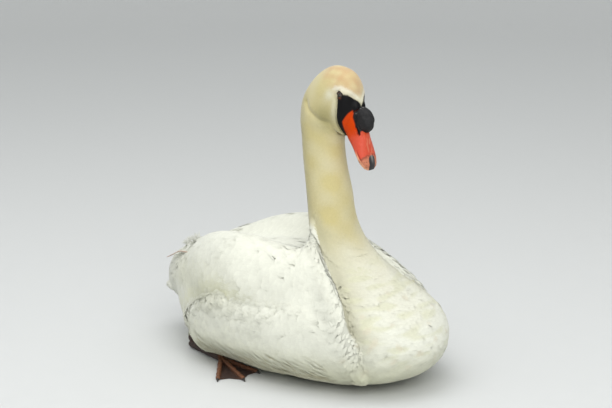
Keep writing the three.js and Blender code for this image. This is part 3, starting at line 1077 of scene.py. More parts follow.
class Graph:
    """A node tree being wired."""

    def __init__(self, tree: NodeTree) -> None:
        """Starts from an empty tree.

        Args:
            tree: Node tree of a material, world or group.
        """
        self.tree = tree
        tree.nodes.clear()

    def add(self, kind: str, inputs: dict | None = None, **settings: object) -> Node:
        """Adds a node.

        Args:
            kind: Node type.
            inputs: Values or sockets for its inputs, by name or number.
            settings: Properties of the node.

        Returns:
            The node.
        """
        node = self.tree.nodes.new(kind)
        for name, value in settings.items():
            setattr(node, name, value)
        for name, value in (inputs or {}).items():
            if isinstance(value, NodeSocket):
                self.tree.links.new(value, node.inputs[name])
            else:
                node.inputs[name].default_value = value
        return node

    def math(self, operation: str, first: object, second: object = 0.0) -> NodeSocket:
        """A Math node's result."""
        return self.add("ShaderNodeMath", {0: first, 1: second}, operation=operation).outputs[0]

    def plus(self, first: object, second: object) -> NodeSocket:
        """Sum of two values."""
        return self.math("ADD", first, second)

    def times(self, first: object, second: object) -> NodeSocket:
        """Product of two values."""
        return self.math("MULTIPLY", first, second)

    def scaled(self, colour: NodeSocket, gain: NodeSocket) -> NodeSocket:
        """A colour times a value."""
        inputs = {0: colour, "Scale": gain}
        return self.add("ShaderNodeVectorMath", inputs, operation="SCALE").outputs[0]

    def noise(self, vector: object, scale: float, detail: float = 3.0) -> NodeSocket:
        """A Noise node's value."""
        node = self.add("ShaderNodeTexNoise", {"Vector": vector, "Scale": scale, "Detail": detail})
        return node.outputs[0]

    def stretch(self, low: float, high: float, value: object, to: tuple) -> NodeSocket:
        """A Map Range from low..high to the two values of to."""
        inputs = {0: value, 1: low, 2: high, 3: to[0], 4: to[1]}
        return self.add("ShaderNodeMapRange", inputs).outputs[0]


def group_of(name: str, inputs: dict, outputs: dict, wire: Callable) -> NodeTree:
    """Builds a shader node group once.

    Args:
        name: Name of the group.
        inputs: Socket type of each input.
        outputs: Socket type of each output.
        wire: Function from the graph and the input sockets to a socket for each output.

    Returns:
        The group.
    """
    known = bpy.data.node_groups.get(name)
    if known:
        return known
    tree = bpy.data.node_groups.new(name, "ShaderNodeTree")
    for key, kind in inputs.items():
        tree.interface.new_socket(key, in_out="INPUT", socket_type=kind)
    for key, kind in outputs.items():
        tree.interface.new_socket(key, in_out="OUTPUT", socket_type=kind)
    graph = Graph(tree)
    results = wire(graph, graph.add("NodeGroupInput").outputs)
    graph.add("NodeGroupOutput", dict(zip(outputs, results)))
    return tree


FLOAT, COLOUR, VECTOR = "NodeSocketFloat", "NodeSocketColor", "NodeSocketVector"


def mottle_group() -> NodeTree:
    """Uneven colour: coarse and fine noise darken and lighten a colour by an amount."""

    def wire(graph: Graph, given: bpy_prop_collection) -> list:
        """Colour times 1 + amount x (noise - 0.5) x 2."""
        coarse = graph.noise(given["Place"], 34.0, 4.0)
        fine = graph.noise(given["Place"], 310.0)
        both = graph.plus(graph.times(coarse, 1.2), graph.times(fine, 0.8))
        swing = graph.times(graph.math("SUBTRACT", both, 1.0), given["Amount"])
        return [graph.scaled(given["Colour"], graph.plus(swing, 1.0)), coarse]

    return group_of("Mottle", {"Colour": COLOUR, "Place": VECTOR, "Amount": FLOAT},
                    {"Colour": COLOUR, "Coarse": FLOAT}, wire)


def barb_group() -> NodeTree:
    """Barbs of a vane: fine slanting ridges either side of the shaft, by the vane's places."""

    def wire(graph: Graph, given: bpy_prop_collection) -> list:
        """Sine of (|across| x 0.6 - along) x barbs, with the shaft as a narrow ridge."""
        along, side, seed = graph.add("ShaderNodeSeparateXYZ", {0: given["Vane"]}).outputs
        across = graph.math("ABSOLUTE", side)
        slant = graph.math("SUBTRACT", graph.times(across, 0.6), along)
        phase = graph.times(graph.plus(slant, graph.times(seed, 0.7)), given["Barbs"])
        shaft = graph.stretch(0.0, 0.09, across, (1.0, 0.0))
        return [graph.plus(graph.times(graph.math("SINE", phase), 0.35), shaft)]

    return group_of("Barbs", {"Vane": VECTOR, "Barbs": FLOAT}, {"Height": FLOAT}, wire)


def pebble_group() -> NodeTree:
    """Small rounded scales: rough cells over fine noise, as a height and a mask of the furrows."""

    def wire(graph: Graph, given: bpy_prop_collection) -> list:
        """One minus the distance to the nearest cell centre, plus noise."""
        inputs = {"Vector": given["Place"], "Scale": given["Scale"]}
        cells = graph.add("ShaderNodeTexVoronoi", inputs)
        furrow = graph.stretch(0.35, 0.75, cells.outputs["Distance"], (0.0, 1.0))
        fine = graph.times(graph.noise(given["Place"], 900.0), 0.35)
        return [graph.math("SUBTRACT", fine, furrow), furrow]

    return group_of("Pebbles", {"Place": VECTOR, "Scale": FLOAT},
                    {"Height": FLOAT, "Furrow": FLOAT}, wire)


@dataclass(frozen=True)
class Finish:
    """A surface finish whose base colour comes from the piece's own Tint attribute."""

    name: str
    roughness: tuple = (0.6, 0.8)
    mottling: float = 0.1
    bump: float = 0.3
    bump_distance: float = 0.0004
    pebbles: float = 0.0
    barbs: float = 0.0
    sheen: float = 0.0
    coat: float = 0.0
    specular: float = 0.5

    def build(self) -> Material:
        """Wires the material.

        Returns:
            The material, ready to be put in a slot.
        """
        material = bpy.data.materials.new(self.name)
        material.use_nodes = True
        graph = Graph(material.node_tree)
        place_of = graph.add("ShaderNodeTexCoord").outputs["Object"]
        tint = graph.add("ShaderNodeAttribute", attribute_name="Tint").outputs["Color"]
        inputs = {"Colour": tint, "Place": place_of, "Amount": self.mottling}
        mottle = graph.add("ShaderNodeGroup", inputs, node_tree=mottle_group())
        colour = mottle.outputs["Colour"]
        height = graph.noise(place_of, 700.0, 4.0)
        if self.pebbles:
            inputs = {"Place": place_of, "Scale": self.pebbles}
            cells = graph.add("ShaderNodeGroup", inputs, node_tree=pebble_group()).outputs
            height = graph.plus(cells["Height"], graph.times(height, 0.4))
            colour = graph.scaled(colour, graph.stretch(0.0, 1.0, cells["Furrow"], (1.0, 0.7)))
        if self.barbs:
            vane = graph.add("ShaderNodeAttribute", attribute_name="Vane").outputs["Vector"]
            inputs = {"Vane": vane, "Barbs": self.barbs}
            barbs = graph.add("ShaderNodeGroup", inputs, node_tree=barb_group()).outputs
            height = graph.plus(barbs["Height"], graph.times(height, 0.5))
        inputs = {"Height": height, "Strength": self.bump, "Distance": self.bump_distance}
        bump = graph.add("ShaderNodeBump", inputs)
        rough = graph.stretch(0.3, 0.7, mottle.outputs["Coarse"], self.roughness)
        shader = graph.add("ShaderNodeBsdfPrincipled", {
            "Base Color": colour, "Roughness": rough, "Normal": bump.outputs[0],
            "Sheen Weight": self.sheen, "Sheen Roughness": 0.5, "Coat Weight": self.coat,
            "Coat Roughness": 0.06, "Specular IOR Level": self.specular,
        })
        graph.add("ShaderNodeOutputMaterial", {"Surface": shader.outputs[0]})
        return material


FEATHERS = Finish("feathers", roughness=(0.72, 0.9), mottling=0.04, bump=0.2, bump_distance=0.0002,
                  barbs=70.0, sheen=0.25, specular=0.2)
DOWN = Finish("velvet_feathers", roughness=(0.78, 0.92), mottling=0.07, bump=0.3,
              bump_distance=0.0002, sheen=0.3, specular=0.2)
UNDER_SKIN = Finish("skin_under_feathers", roughness=(0.8, 0.92), mottling=0.08, bump=0.5,
                    specular=0.2)
LORE_SKIN = Finish("lore_skin", roughness=(0.3, 0.44), mottling=0.16, bump=0.22, specular=0.12)
BILL_SKIN = Finish("bill_skin", roughness=(0.28, 0.42), mottling=0.16, bump=0.22, specular=0.12)
KNOB_SKIN = Finish("knob_skin", roughness=(0.5, 0.68), mottling=0.25, bump=0.5, pebbles=820.0,
                   specular=0.3)
HORN = Finish("horn", roughness=(0.34, 0.5), mottling=0.3, bump=0.3, specular=0.5)
LEG_SKIN = Finish("leg_skin", roughness=(0.5, 0.72), mottling=0.3, bump=0.7, bump_distance=0.0006,
                  pebbles=520.0, specular=0.4)
EYE_WET = Finish("eye_wet", roughness=(0.05, 0.09), mottling=0.3, bump=0.0, coat=1.0)
FLOOR_PAINT = Finish("floor_paint", roughness=(0.7, 0.85), mottling=0.03, bump=0.1)


# ---- coat ----


@dataclass(frozen=True)
class Vane:
    """Outline of one feather as a closed vane: a raised shaft line between two edges."""

    along: tuple
    half_width: tuple
    camber: float = 0.07

    def points(self) -> tuple[Array, Array, Array]:
        """Share of the length, share of the half width and share of the camber at each vertex."""
        t, w = np.array(self.along[1:-1]), np.array(self.half_width)
        rows = np.stack([t] * 3, 1).ravel()
        sides = np.stack([w, 0 * w, -w], 1).ravel()
        raised = np.stack([0 * w, w, 0 * w], 1).ravel()
        return (
            np.concatenate([[self.along[0]], rows, [self.along[-1]]]),
            np.concatenate([[0.0], sides, [0.0]]),
            np.concatenate([[0.0], raised, [0.0]]),
        )

    def faces(self) -> Array:
        """Triangles of the closed vane: two upper strips, one lower strip, two pointed ends."""
        k = len(self.half_width)
        last = 3 * k + 1
        out = [(0, 2, 1), (0, 3, 2), (0, 1, 3)]
        for i in range(k - 1):
            a, b, c = 1 + 3 * i, 2 + 3 * i, 3 + 3 * i
            for p, q in ((a, b), (b, c), (c, a)):
                out += [(p, q, q + 3), (p, q + 3, p + 3)]
        a, b, c = last - 3, last - 2, last - 1
        out += [(last, a, b), (last, b, c), (last, c, a)]
        return np.array(out)


BROAD = Vane((0.0, 0.22, 0.55, 0.8, 0.94, 1.0), (0.5, 0.95, 1.0, 0.62), camber=0.04)
SHORT = Vane((0.0, 0.3, 0.72, 1.0), (0.75, 1.0))
STRAND = Vane((0.0, 0.45, 1.0), (1.0,), camber=0.2)
QUILL = Vane((0.0, 0.12, 0.4, 0.7, 0.9, 0.97, 1.0), (0.4, 0.85, 1.0, 0.9, 0.55), camber=0.06)


@dataclass(frozen=True)
class Lay:
    """How feathers stand: lift of vane and strand at 0, 0.35, 0.7 and 1 of the length, and fan."""

    vane: tuple = (-0.05, 0.74, 0.92, 0.97)
    strand: tuple = (0.84, 0.94, 0.97, 0.96)
    fan: float = 0.5


SLEEK = Lay()
RAISED = Lay((0.6, 1.1, 1.4, 1.7), (1.3, 2.0, 2.8, 3.6), 0.8)
HANGING = Lay((-0.05, 0.7, 0.95, 1.1), (0.8, 1.0, 1.15, 1.3), 0.7)


@dataclass
class Planting:
    """Roots of the feathers of one tract on a surface, with the size and lie of each."""

    surface: Surface
    row: Array
    column: Array
    length: Array
    width: Array
    depth: Array
    turn: Array
    seed: int
    towards: float = -1.0

    @classmethod
    def scattered(cls, surface: Surface, places: tuple, sizes: tuple, spread: tuple, rng: Random,
                  seed: int, towards: float = -1.0, share: float = 1.0) -> "Planting":
        """Roots near given grid places, each a little off in place, size and turn.

        Args:
            surface: Surface that the roots stand on.
            places: Rows and columns on its grid.
            sizes: Usual length and width of a feather, and depth of the coat.
            spread: Scatter of row, column, length, width and turn.
            rng: Source of the scatter.
            seed: Seed of the feathers that grow from the roots.
            towards: Which way the grid's rows run, 1 towards the tail.
            share: Mean share of the usual length.

        Returns:
            The planting.
        """
        n = len(places[0])
        return cls(surface, places[0] + rng.normal(0, spread[0], n),
                   places[1] + rng.normal(0, spread[1], n),
                   sizes[0] * rng.normal(share, spread[2], n),
                   sizes[1] * rng.normal(1, spread[3], n), np.full(n, float(sizes[2])),
                   rng.normal(0, spread[4], n), seed, towards)

    def select(self, keep: Array) -> "Planting":
        """The planting with only some of its roots."""
        names = ("row", "column", "length", "width", "depth", "turn")
        return replace(self, **{name: getattr(self, name)[keep] for name in names})

    def base(self) -> Array:
        """Points of the roots."""
        return self.surface.at(self.row, self.column)[0]

    def axes(self) -> tuple[Array, Array, Array]:
        """Normal at each root, the lie of the coat towards the tail, and the way beside it."""
        _, normal = self.surface.at(self.row, self.column)
        flow = self.surface.read(self.surface.along, self.row, self.column) * self.towards
        flow = unit(flow - (flow * normal).sum(-1, keepdims=True) * normal)
        return normal, flow, np.cross(normal, flow)

    def aimed(self, vectors: Array | tuple, share: float | Array = 1.0) -> None:
        """Turns every feather, by a share of the way, towards a direction in space.

        Args:
            vectors: Direction wanted at each root, or one for all.
            share: How much of the turn is made.
        """
        _, flow, side = self.axes()
        wanted = np.arctan2((vectors * side).sum(-1), (vectors * flow).sum(-1))
        self.turn = self.turn + share * wanted

    def aims(self) -> Pair:
        """The way each feather points, and the way beside it."""
        normal, flow, side = self.axes()
        ahead = flow * np.cos(self.turn)[:, None] + side * np.sin(self.turn)[:, None]
        return ahead, np.cross(normal, ahead)

    def walk(self, reach: Array, sideways: Array) -> Pair:
        """Grid places ahead of and beside each root.

        Args:
            reach: Millimetres ahead, a row for each root.
            sideways: Millimetres aside, a row for each root.

        Returns:
            Rows and columns of the places.
        """
        ahead, aside = self.aims()
        ar, ac = self.surface.steps(self.row, self.column, ahead)
        sr, sc = self.surface.steps(self.row, self.column, aside)
        row = self.row[:, None] + reach * ar[:, None] + sideways * sr[:, None]
        column = self.column[:, None] + reach * ac[:, None] + sideways * sc[:, None]
        return row, column

    def strands(self, seed: int, fan: float) -> "Planting":
        """Narrow strands over the outer half of each feather, fanned about its shaft.

        Args:
            seed: Seed of the scatter.
            fan: Widest turn of a strand, in radians.

        Returns:
            The strands' planting.
        """
        rng = np.random.default_rng(seed)
        shape = (len(self.row), STRANDS)
        across = np.linspace(-0.8, 0.8, STRANDS)[None] + rng.normal(0, 0.1, shape)
        long, wide = self.length[:, None], self.width[:, None]
        reach = long * (0.62 - 0.28 * across**2 + rng.normal(0, 0.05, shape))
        row, column = self.walk(reach, across * wide * 0.42)
        length = long * rng.normal(0.42, 0.07, shape)
        width = wide * 0.13 * rng.normal(1, 0.15, shape)
        turn = self.turn[:, None] + across * fan + rng.normal(0, 0.12, shape)
        depth = np.broadcast_to(self.depth[:, None], shape)
        parts = [part.ravel() for part in (row, column, length, width, depth, turn)]
        return Planting(self.surface, *parts, seed + 1, self.towards)


@dataclass
class CoatBuilder:
    """Gathers vanes of one tract and makes them one mesh with its baking layout."""

    tract: Tract
    material: Material
    slot: str = "white_feather"
    vertices: list = field(default_factory=list)
    normals: list = field(default_factory=list)
    faces: list = field(default_factory=list)
    vane_places: list = field(default_factory=list)
    tints: list = field(default_factory=list)
    patches: list = field(default_factory=list)
    count: int = 0

    def grow(self, roots: Planting, vane: Vane, lift: tuple, roll: float, painted_overlap_shade: float = 0.03,
             paint: Callable | None = None, fine: bool = False) -> None:
        """Adds one vane at every root.

        Formula: a vane point lies at share a of the length and share b of the half width; it is
        carried over the skin by that many grid steps, and stands on the normal by the lift curve
        times the coat's depth, plus the camber across the vane.

        Args:
            roots: Places, sizes and turns of the feathers.
            vane: Outline of a feather.
            lift: Shares of the coat's depth at 0, 0.35, 0.7 and 1 of the length.
            roll: How far the shading normals of the edges lean outwards.
            painted_overlap_shade: Painted shade: how much darker the part that the next feather
                covers is than the tip.
            paint: Colour of a place, the bird's plumage by default.
            fine: Whether a feather takes its colour point by point, not from its root alone.
        """
        rng = np.random.default_rng(roots.seed)
        n = len(roots.row)
        if not n:
            return
        surface, base = roots.surface, roots.base()
        ahead, aside = roots.aims()
        a, b, raised = vane.points()
        bend = rng.normal(0, 0.06, n)
        length, half = roots.length[:, None], roots.width[:, None] / 2
        reach = a[None] * length
        sideways = b[None] * half + bend[:, None] * reach * a[None]
        tip = surface.at(*roots.walk(length, 0 * length))[0][:, 0]
        got = np.linalg.norm(tip - base, axis=-1)
        reach = reach * np.clip(roots.length / np.maximum(got, 0.1), 0.5, 1.4)[:, None]
        points, normals = surface.at(*roots.walk(reach, sideways))
        rise = np.interp(a, [0, 0.35, 0.7, 1.0], lift)
        high = rise[None] * roots.depth[:, None] * (1 + rng.normal(0, 0.02, n))[:, None]
        high = high + raised[None] * vane.camber * half
        points = points + normals * high[..., None]
        end = np.clip((a - 0.6) / 0.4, 0, 1)[None, :, None]
        lean = roll * (b[None, :, None] * aside[:, None] + 0.8 * end * ahead[:, None])
        self.vertices.append(points.reshape(-1, 3))
        self.normals.append(unit(normals + lean).reshape(-1, 3))
        step = len(a)
        offsets = self.count + np.arange(n)[:, None, None] * step
        self.faces.append((vane.faces()[None] + offsets).reshape(-1, 3))
        self.count += n * step
        seeds = np.repeat(rng.uniform(0, 1, n)[:, None], step, 1)
        along, across = np.broadcast_to(a, (n, step)), np.broadcast_to(b, (n, step))
        self.vane_places.append(np.stack([along, across, seeds], -1).reshape(-1, 3))
        colour = (paint or MARKS.plumage)(points if fine else base[:, None])
        colour = colour * (1 + rng.normal(0, 0.01, (n, 1, 1)))
        # Painted shade: the part of each feather that the next one covers is darker than its tip.
        overlap_shade_gain = 1 - painted_overlap_shade + 2 * painted_overlap_shade * smooth(0.72, 1.0, a)
        self.tints.append((colour * overlap_shade_gain[None, :, None]).reshape(-1, 3))
        u = (roots.row / surface.rows)[:, None] + 0.0015 * b[None]
        v = ((roots.column / surface.columns) % 1.0)[:, None] + 0.003 * (a[None] - 0.5)
        self.patches.append(np.clip(np.stack([u, v], -1), 0.0, 1.0).reshape(-1, 2))

    def clothe(self, roots: Planting, seed: int, lay: Lay = SLEEK, fine: bool = False) -> None:
        """Grows broad feathers and the loose strands over their tips.

        Args:
            roots: Places, sizes and turns of the feathers.
            seed: Seed of the strands.
            lay: How they stand.
            fine: Whether they take their colour point by point.
        """
        self.grow(roots, BROAD, lay.vane, 0.06, fine=fine)
        self.grow(roots.strands(seed, lay.fan), STRAND, lay.strand, 0.1, fine=fine)

    def finish(self) -> None:
        """Makes the tract's mesh and shows it."""
        points = np.concatenate(self.vertices)
        points[:, 2] = np.maximum(points[:, 2], 0.05)
        faces = np.concatenate(self.faces)
        mesh = make_mesh(self.tract.value, Shell(points, faces, np.zeros((0, 4), int)))
        a, b, c = (points[faces[:, k]] for k in range(3))
        flat = unit(np.cross(b - a, c - a))[:, None]
        shading = np.concatenate(self.normals)[faces]
        agree = (shading * flat).sum(-1, keepdims=True) > 0.12
        corners = np.where(agree, shading, flat).reshape(-1, 3)
        mesh.normals_split_custom_set(corners.astype(np.float32))
        set_tint(mesh, np.concatenate(self.tints))
        set_vane(mesh, np.concatenate(self.vane_places), np.concatenate(self.patches)[faces])
        place(mesh, [self.material])


def sow(surface: Surface, rows: tuple, spacing: Callable, seed: int) -> Pair:
    """Staggered rows of roots over part of a surface.

    Formula: a row comes as soon as its widest gap to the last one is the wanted spacing; along it,
    roots stand at equal shares of the sum of arc length over spacing; where rows run closer than
    wanted, roots are thinned by the same ratio.

    Args:
        surface: The skin.
        rows: First and last grid row.
        spacing: Function from points to the wanted distances along and across.
        seed: Seed of the scatter.

    Returns:
        Rows and columns of the roots.
    """
    rng = np.random.default_rng(seed)
    columns = np.arange(surface.columns).astype(float)
    out_rows, out_columns = [], []
    row = rows[0]
    while row < rows[1]:
        here = np.full(surface.columns, row)
        gap, aside = spacing(surface.read(surface.points, here, columns))
        run = np.linalg.norm(surface.read(surface.along, here, columns), axis=-1)
        step = float(np.clip(1.0 / np.percentile(run / gap, 90), 0.05, 8.0))
        arc = np.linalg.norm(surface.read(surface.across, here, columns), axis=-1) / aside
        total = np.concatenate([[0], np.cumsum(arc)])
        number = max(int(total[-1]), 3)
        at = (np.arange(number) + rng.uniform(0, 1)) % number + rng.normal(0, 0.16, number)
        spots = np.interp(at * total[-1] / number, total, np.arange(surface.columns + 1))
        thin = np.interp(spots % surface.columns, columns, run * step / gap)
        keep = rng.uniform(0, 1, number) < thin
        out_rows.append((row + rng.normal(0, 0.2, number) * step)[keep])
        out_columns.append(spots[keep])
        row += step
    return np.concatenate(out_rows), np.concatenate(out_columns)


@dataclass
class Plumage:
    """All feather tracts of the bird.

    A flank row is its fall below the edge, the gap between feathers, their length and outward curl;
    a tail row is x, length and width; a tuft is the point it stands at and its share of the height;
    the flank rows leave out both ends of the edge by a length.
    """

    body: Body
    legs: tuple
    feathers: Material
    down: Material
    seed: int = 41
    wing_end: float = -258.0
    flank_rows: tuple = ((48, 12, 26, 0.15), (35, 11, 25, 0.25), (23, 10, 24, 0.45),
                         (12, 9, 21, 0.75), (4, 8.5, 17, 1.0))
    tail_rows: tuple = ((-200, 80, 18), (-216, 68, 17), (-188, 52, 15), (-232, 52, 16))
    tuft_spots: tuple = ((-166, -55, 177, 1.2), (-133, -70, 190, 1.2), (-137, 40, 190, 0.5))
    tuft_feathers: int = 8
    streak_count: int = 460
    flank_ends: tuple = (6.0, 62.0)

    def sizes(self, station: Array) -> tuple[Array, Array, Array]:
        """Length, width and coat depth at a station, small on the head and large on the body.

        Args:
            station: Station numbers.

        Returns:
            Length, width and depth for each.
        """
        stops = [0, 4, 6, 8, 10, 12, 14, 18, 20, 22, 23]
        length = np.interp(station, stops, [38, 34, 28, 22, 17, 13, 11, 9, 7, 4.8, 4])
        width = np.interp(station, stops, [20, 19, 17, 14, 10, 7, 5.6, 4.4, 3.6, 2.7, 2.3])
        return length, width, coat_depth(station)

    def plant(self, stations: tuple, density: float, seed: int) -> Planting:
        """Roots between two stations of the body with their sizes.

        Args:
            stations: First and last station.
            density: Share of the usual distance between feathers.
            seed: Seed of the scatter.

        Returns:
            The planting.
        """
        skin, knots = self.body.skin, self.body.station_rows
        rows = np.interp(stations, np.arange(len(knots)), knots)

        def spacing(points: Array) -> Pair:
            """Distances by the size of the feathers at the skin's ring nearest to the points.

            Args:
                points: A ring of the skin.

            Returns:
                Distances along and across for each point.
            """
            row = int(np.argmin(((skin.points[:, 0] - points[0]) ** 2).sum(-1)))
            station = np.full(len(points), self.body.station(np.array(row, float)))
            length, width, _ = self.sizes(station)
            return length * 0.33 * density, width * 0.52 * density

        row, column = sow(skin, (rows[0], rows[1]), spacing, seed)
        length, width, depth = self.sizes(self.body.station(row))
        rng = np.random.default_rng(seed + 1)
        n = len(row)
        length, width = length * rng.normal(1, 0.1, n), width * rng.normal(1, 0.1, n)
        return Planting(skin, row, column, length, width, depth, rng.normal(0, 0.09, n), seed + 2)

    def build(self) -> None:
        """Grows every tract."""
        self.head()
        self.neck()
        self.breast()
        self.trunk()
        self.flanks()
        self.stern()
        self.thighs()

    def head(self) -> None:
        """Short velvet feathers of the head, none on the lores and the eye."""
        coat = CoatBuilder(Tract.HEAD, self.down, "cream_feather")
        roots = self.plant((17.6, 23.0), 0.62, self.seed)
        base = roots.base()
        on_eye = (np.hypot(*head_level(base)) < 5.2) & (np.abs(base[:, 1]) > 15)
        roots = roots.select((bare_depth(base) <= -0.7) & ~on_eye)
        coat.grow(roots, SHORT, (-0.1, 0.7, 0.95, 1.05), 0.15, painted_overlap_shade=0.02)
        coat.finish()

    def neck(self) -> None:
        """Fine feathers of the neck."""
        for tract, span in ((Tract.NECK_UPPER, (14.8, 17.8)), (Tract.NECK_LOWER, (11.2, 15.0))):
            coat = CoatBuilder(tract, self.down, "cream_feather")
            roots = self.plant(span, 0.66, self.seed + 10 + int(span[0]))
            coat.grow(roots, SHORT, (-0.1, 0.65, 0.9, 1.0), 0.12, painted_overlap_shade=0.02)
            coat.finish()

    def breast(self) -> None:
        """Rows of broad soft feathers over the breast, shorter beside the crease."""
        roots = self.plant((6.0, 11.4), 0.85, self.seed + 30)
        base = roots.base()
        self.trim(roots, base)
        self.comb(roots, base)
        clear = self.off_crease(base) & (base[:, 2] > 1.5)
        right = base[:, 1] < 0
        for tract, keep in ((Tract.BREAST_RIGHT, right), (Tract.BREAST_LEFT, ~right)):
            coat = CoatBuilder(tract, self.feathers)
            coat.clothe(roots.select(keep & clear), self.seed + 33, fine=True)
            coat.finish()

    def trunk(self) -> None:
        """Sides, back and belly behind the breast."""
        roots = self.plant((0.0, 6.1), 0.85, self.seed + 50)
        base = roots.base()
        self.trim(roots, base)
        roots.length = np.minimum(roots.length, 12 + 0.9 * (base[:, 0] + 222))
        low = smooth(62, 25, base[:, 2])
        roots.aimed(xyz(-1.0, 0.0, -0.5 * low), 0.8 * low)
        self.comb(roots, base)
        clear = self.off_crease(base)
        right = base[:, 1] < 0
        under = (base[:, 2] < 12) | (base[:, 0] < -196)
        belly = under & (base[:, 2] > 1.0) & (base[:, 2] < 110)
        for tract, keep in ((Tract.MANTLE_RIGHT, right & ~under),
                            (Tract.MANTLE_LEFT, ~right & ~under), (Tract.BELLY, belly)):
            coat = CoatBuilder(tract, self.feathers)
            part = roots.select(keep & clear)
            part.seed += len(tract.value)
            coat.clothe(part, self.seed + 60)
            coat.finish()

    def trim(self, roots: Planting, base: Array) -> None:
        """Makes the feathers short, narrow and flat by the crease and the neck's foot.

        Args:
            roots: Feathers to trim.
            base: Points of their roots.
        """
        folded = xyz(base[:, 0], np.minimum(-np.abs(base[:, 1]), -46.0), base[:, 2])
        foot = np.array([80.0, -46.0, 216.0])
        away = np.linalg.norm((folded - foot) * np.array([0.7, 0.8, 0.8]), axis=-1)
        share = 0.45 + 0.55 * smooth(2, 20, np.abs(crease_side(base)))
        share = share * (0.6 + 0.4 * smooth(10, 42, away))
        roots.length = roots.length * share
        roots.depth = roots.depth * (1.4 * share - 0.4)
        roots.width = roots.width * (1.3 * share - 0.3)

    def comb(self, roots: Planting, base: Array) -> None:
        """Lays the feathers back over the shoulder, and down along the crease before it.

        Args:
            roots: Feathers to turn.
            base: Points of their roots.
        """
        x, y, z = base.T
        side, behind = np.abs(y), crease_side(base)
        back = xyz(-1.0, 0.0, -0.12 - 0.5 * smooth(40, 190, x))
        share = smooth(2, 26, behind) * smooth(0, 50, x) * smooth(95, 130, z)
        roots.aimed(back, share * smooth(35, 60, side))
        share = smooth(10, 50, x) * smooth(125, 95, x) * smooth(165, 190, z)
        roots.aimed((-1.0, 0.0, -0.6), share * smooth(238, 222, z) * smooth(66, 48, side))
        along = xyz(0.63, 0.33 * np.sign(y), -0.66)
        roots.aimed(along, smooth(-40, -8, behind) * (behind < 0) * smooth(100, 125, z))

    def off_crease(self, base: Array) -> Array:
        """Roots that do not stand in the bottom of the crease."""
        behind = crease_side(base)
        return (behind > 2.5) | (behind < -6) | (base[:, 2] > 235)

    def flanks(self) -> None:
        """Loose bright feathers curling up over the wing's lower edge, ragged along the floor."""
        coat = CoatBuilder(Tract.FLANKS, self.feathers)
        rng = np.random.default_rng(self.seed + 70)
        edge = np.array(FLANK_EDGE, float)
        run = np.concatenate([[0], np.cumsum(np.hypot(*np.diff(edge, axis=0).T))])
        for sign in (-1.0, 1.0):
            for k, (fall, gap, length, out) in enumerate(self.flank_rows):
                at = np.arange(self.flank_ends[0], run[-1] - self.flank_ends[1], gap)
                n = len(at)
                at = at + rng.normal(0, 1.6, n)
                x, z = np.interp(at, run, edge[:, 0]), np.interp(at, run, edge[:, 1]) - fall
                spots = xyz(x, sign * 140.0, z + rng.normal(0, 1.8, n))
                roots = Planting.scattered(
                    self.body.skin, self.body.skin.nearest(spots), (length, 0.72 * length, 5.0),
                    (0.3, 0.3, 0.12, 0.1, 0.14), rng, self.seed + 71 + k)
                roots.aimed((-0.75, 0.0, 0.25 + out))
                fuller = 0.45 * (k > 1) * smooth(30, -30, x)
                roots.depth = 5.0 * (1 - 0.45 * smooth(80, 165, x) + fuller)
                top = 0.95 + 0.75 * out
                lay = Lay((0.1, 0.6 * top, 0.95 * top, top),
                          (0.8 * top, top, 1.03 * top, 1.06 * top), 0.6)
                coat.clothe(roots, self.seed + 80 + k, lay)
            self.streaks(coat, sign, rng)
        coat.finish()

    def streaks(self, coat: CoatBuilder, sign: float, rng: Random) -> None:
        """Damp narrow strands over the lower flank, white and stained.

        Args:
            coat: Coat that the strands join.
            sign: Side of the bird, as the sign of y.
            rng: Source of the scatter.
        """
        n, skin = self.streak_count, self.body.skin
        x, z = rng.uniform(-95, 170, n), 12 + 52 * rng.uniform(0, 1, n) ** 1.3
        row, column = skin.nearest(xyz(x, sign * 135.0, z))
        roots = Planting(skin, row + rng.normal(0, 0.5, n), column + rng.normal(0, 0.5, n),
                         rng.uniform(20, 36, n), rng.uniform(1.6, 3.2, n), np.full(n, 5.0),
                         rng.normal(0, 0.2, n), self.seed + 140)
        roots.aimed((0.75, 0.0, -0.65))
        stained = rng.uniform(0, 1, n) < 0.6 * smooth(70, 35, roots.base()[:, 2])
        lift = (1.0, 1.3, 1.4, 1.3)
        coat.grow(roots.select(~stained), STRAND, lift, 0.15)
        coat.grow(roots.select(stained), STRAND, lift, 0.15,
                  paint=lambda points: np.tile(np.array(MARKS.wet), (len(points), 1, 1)))

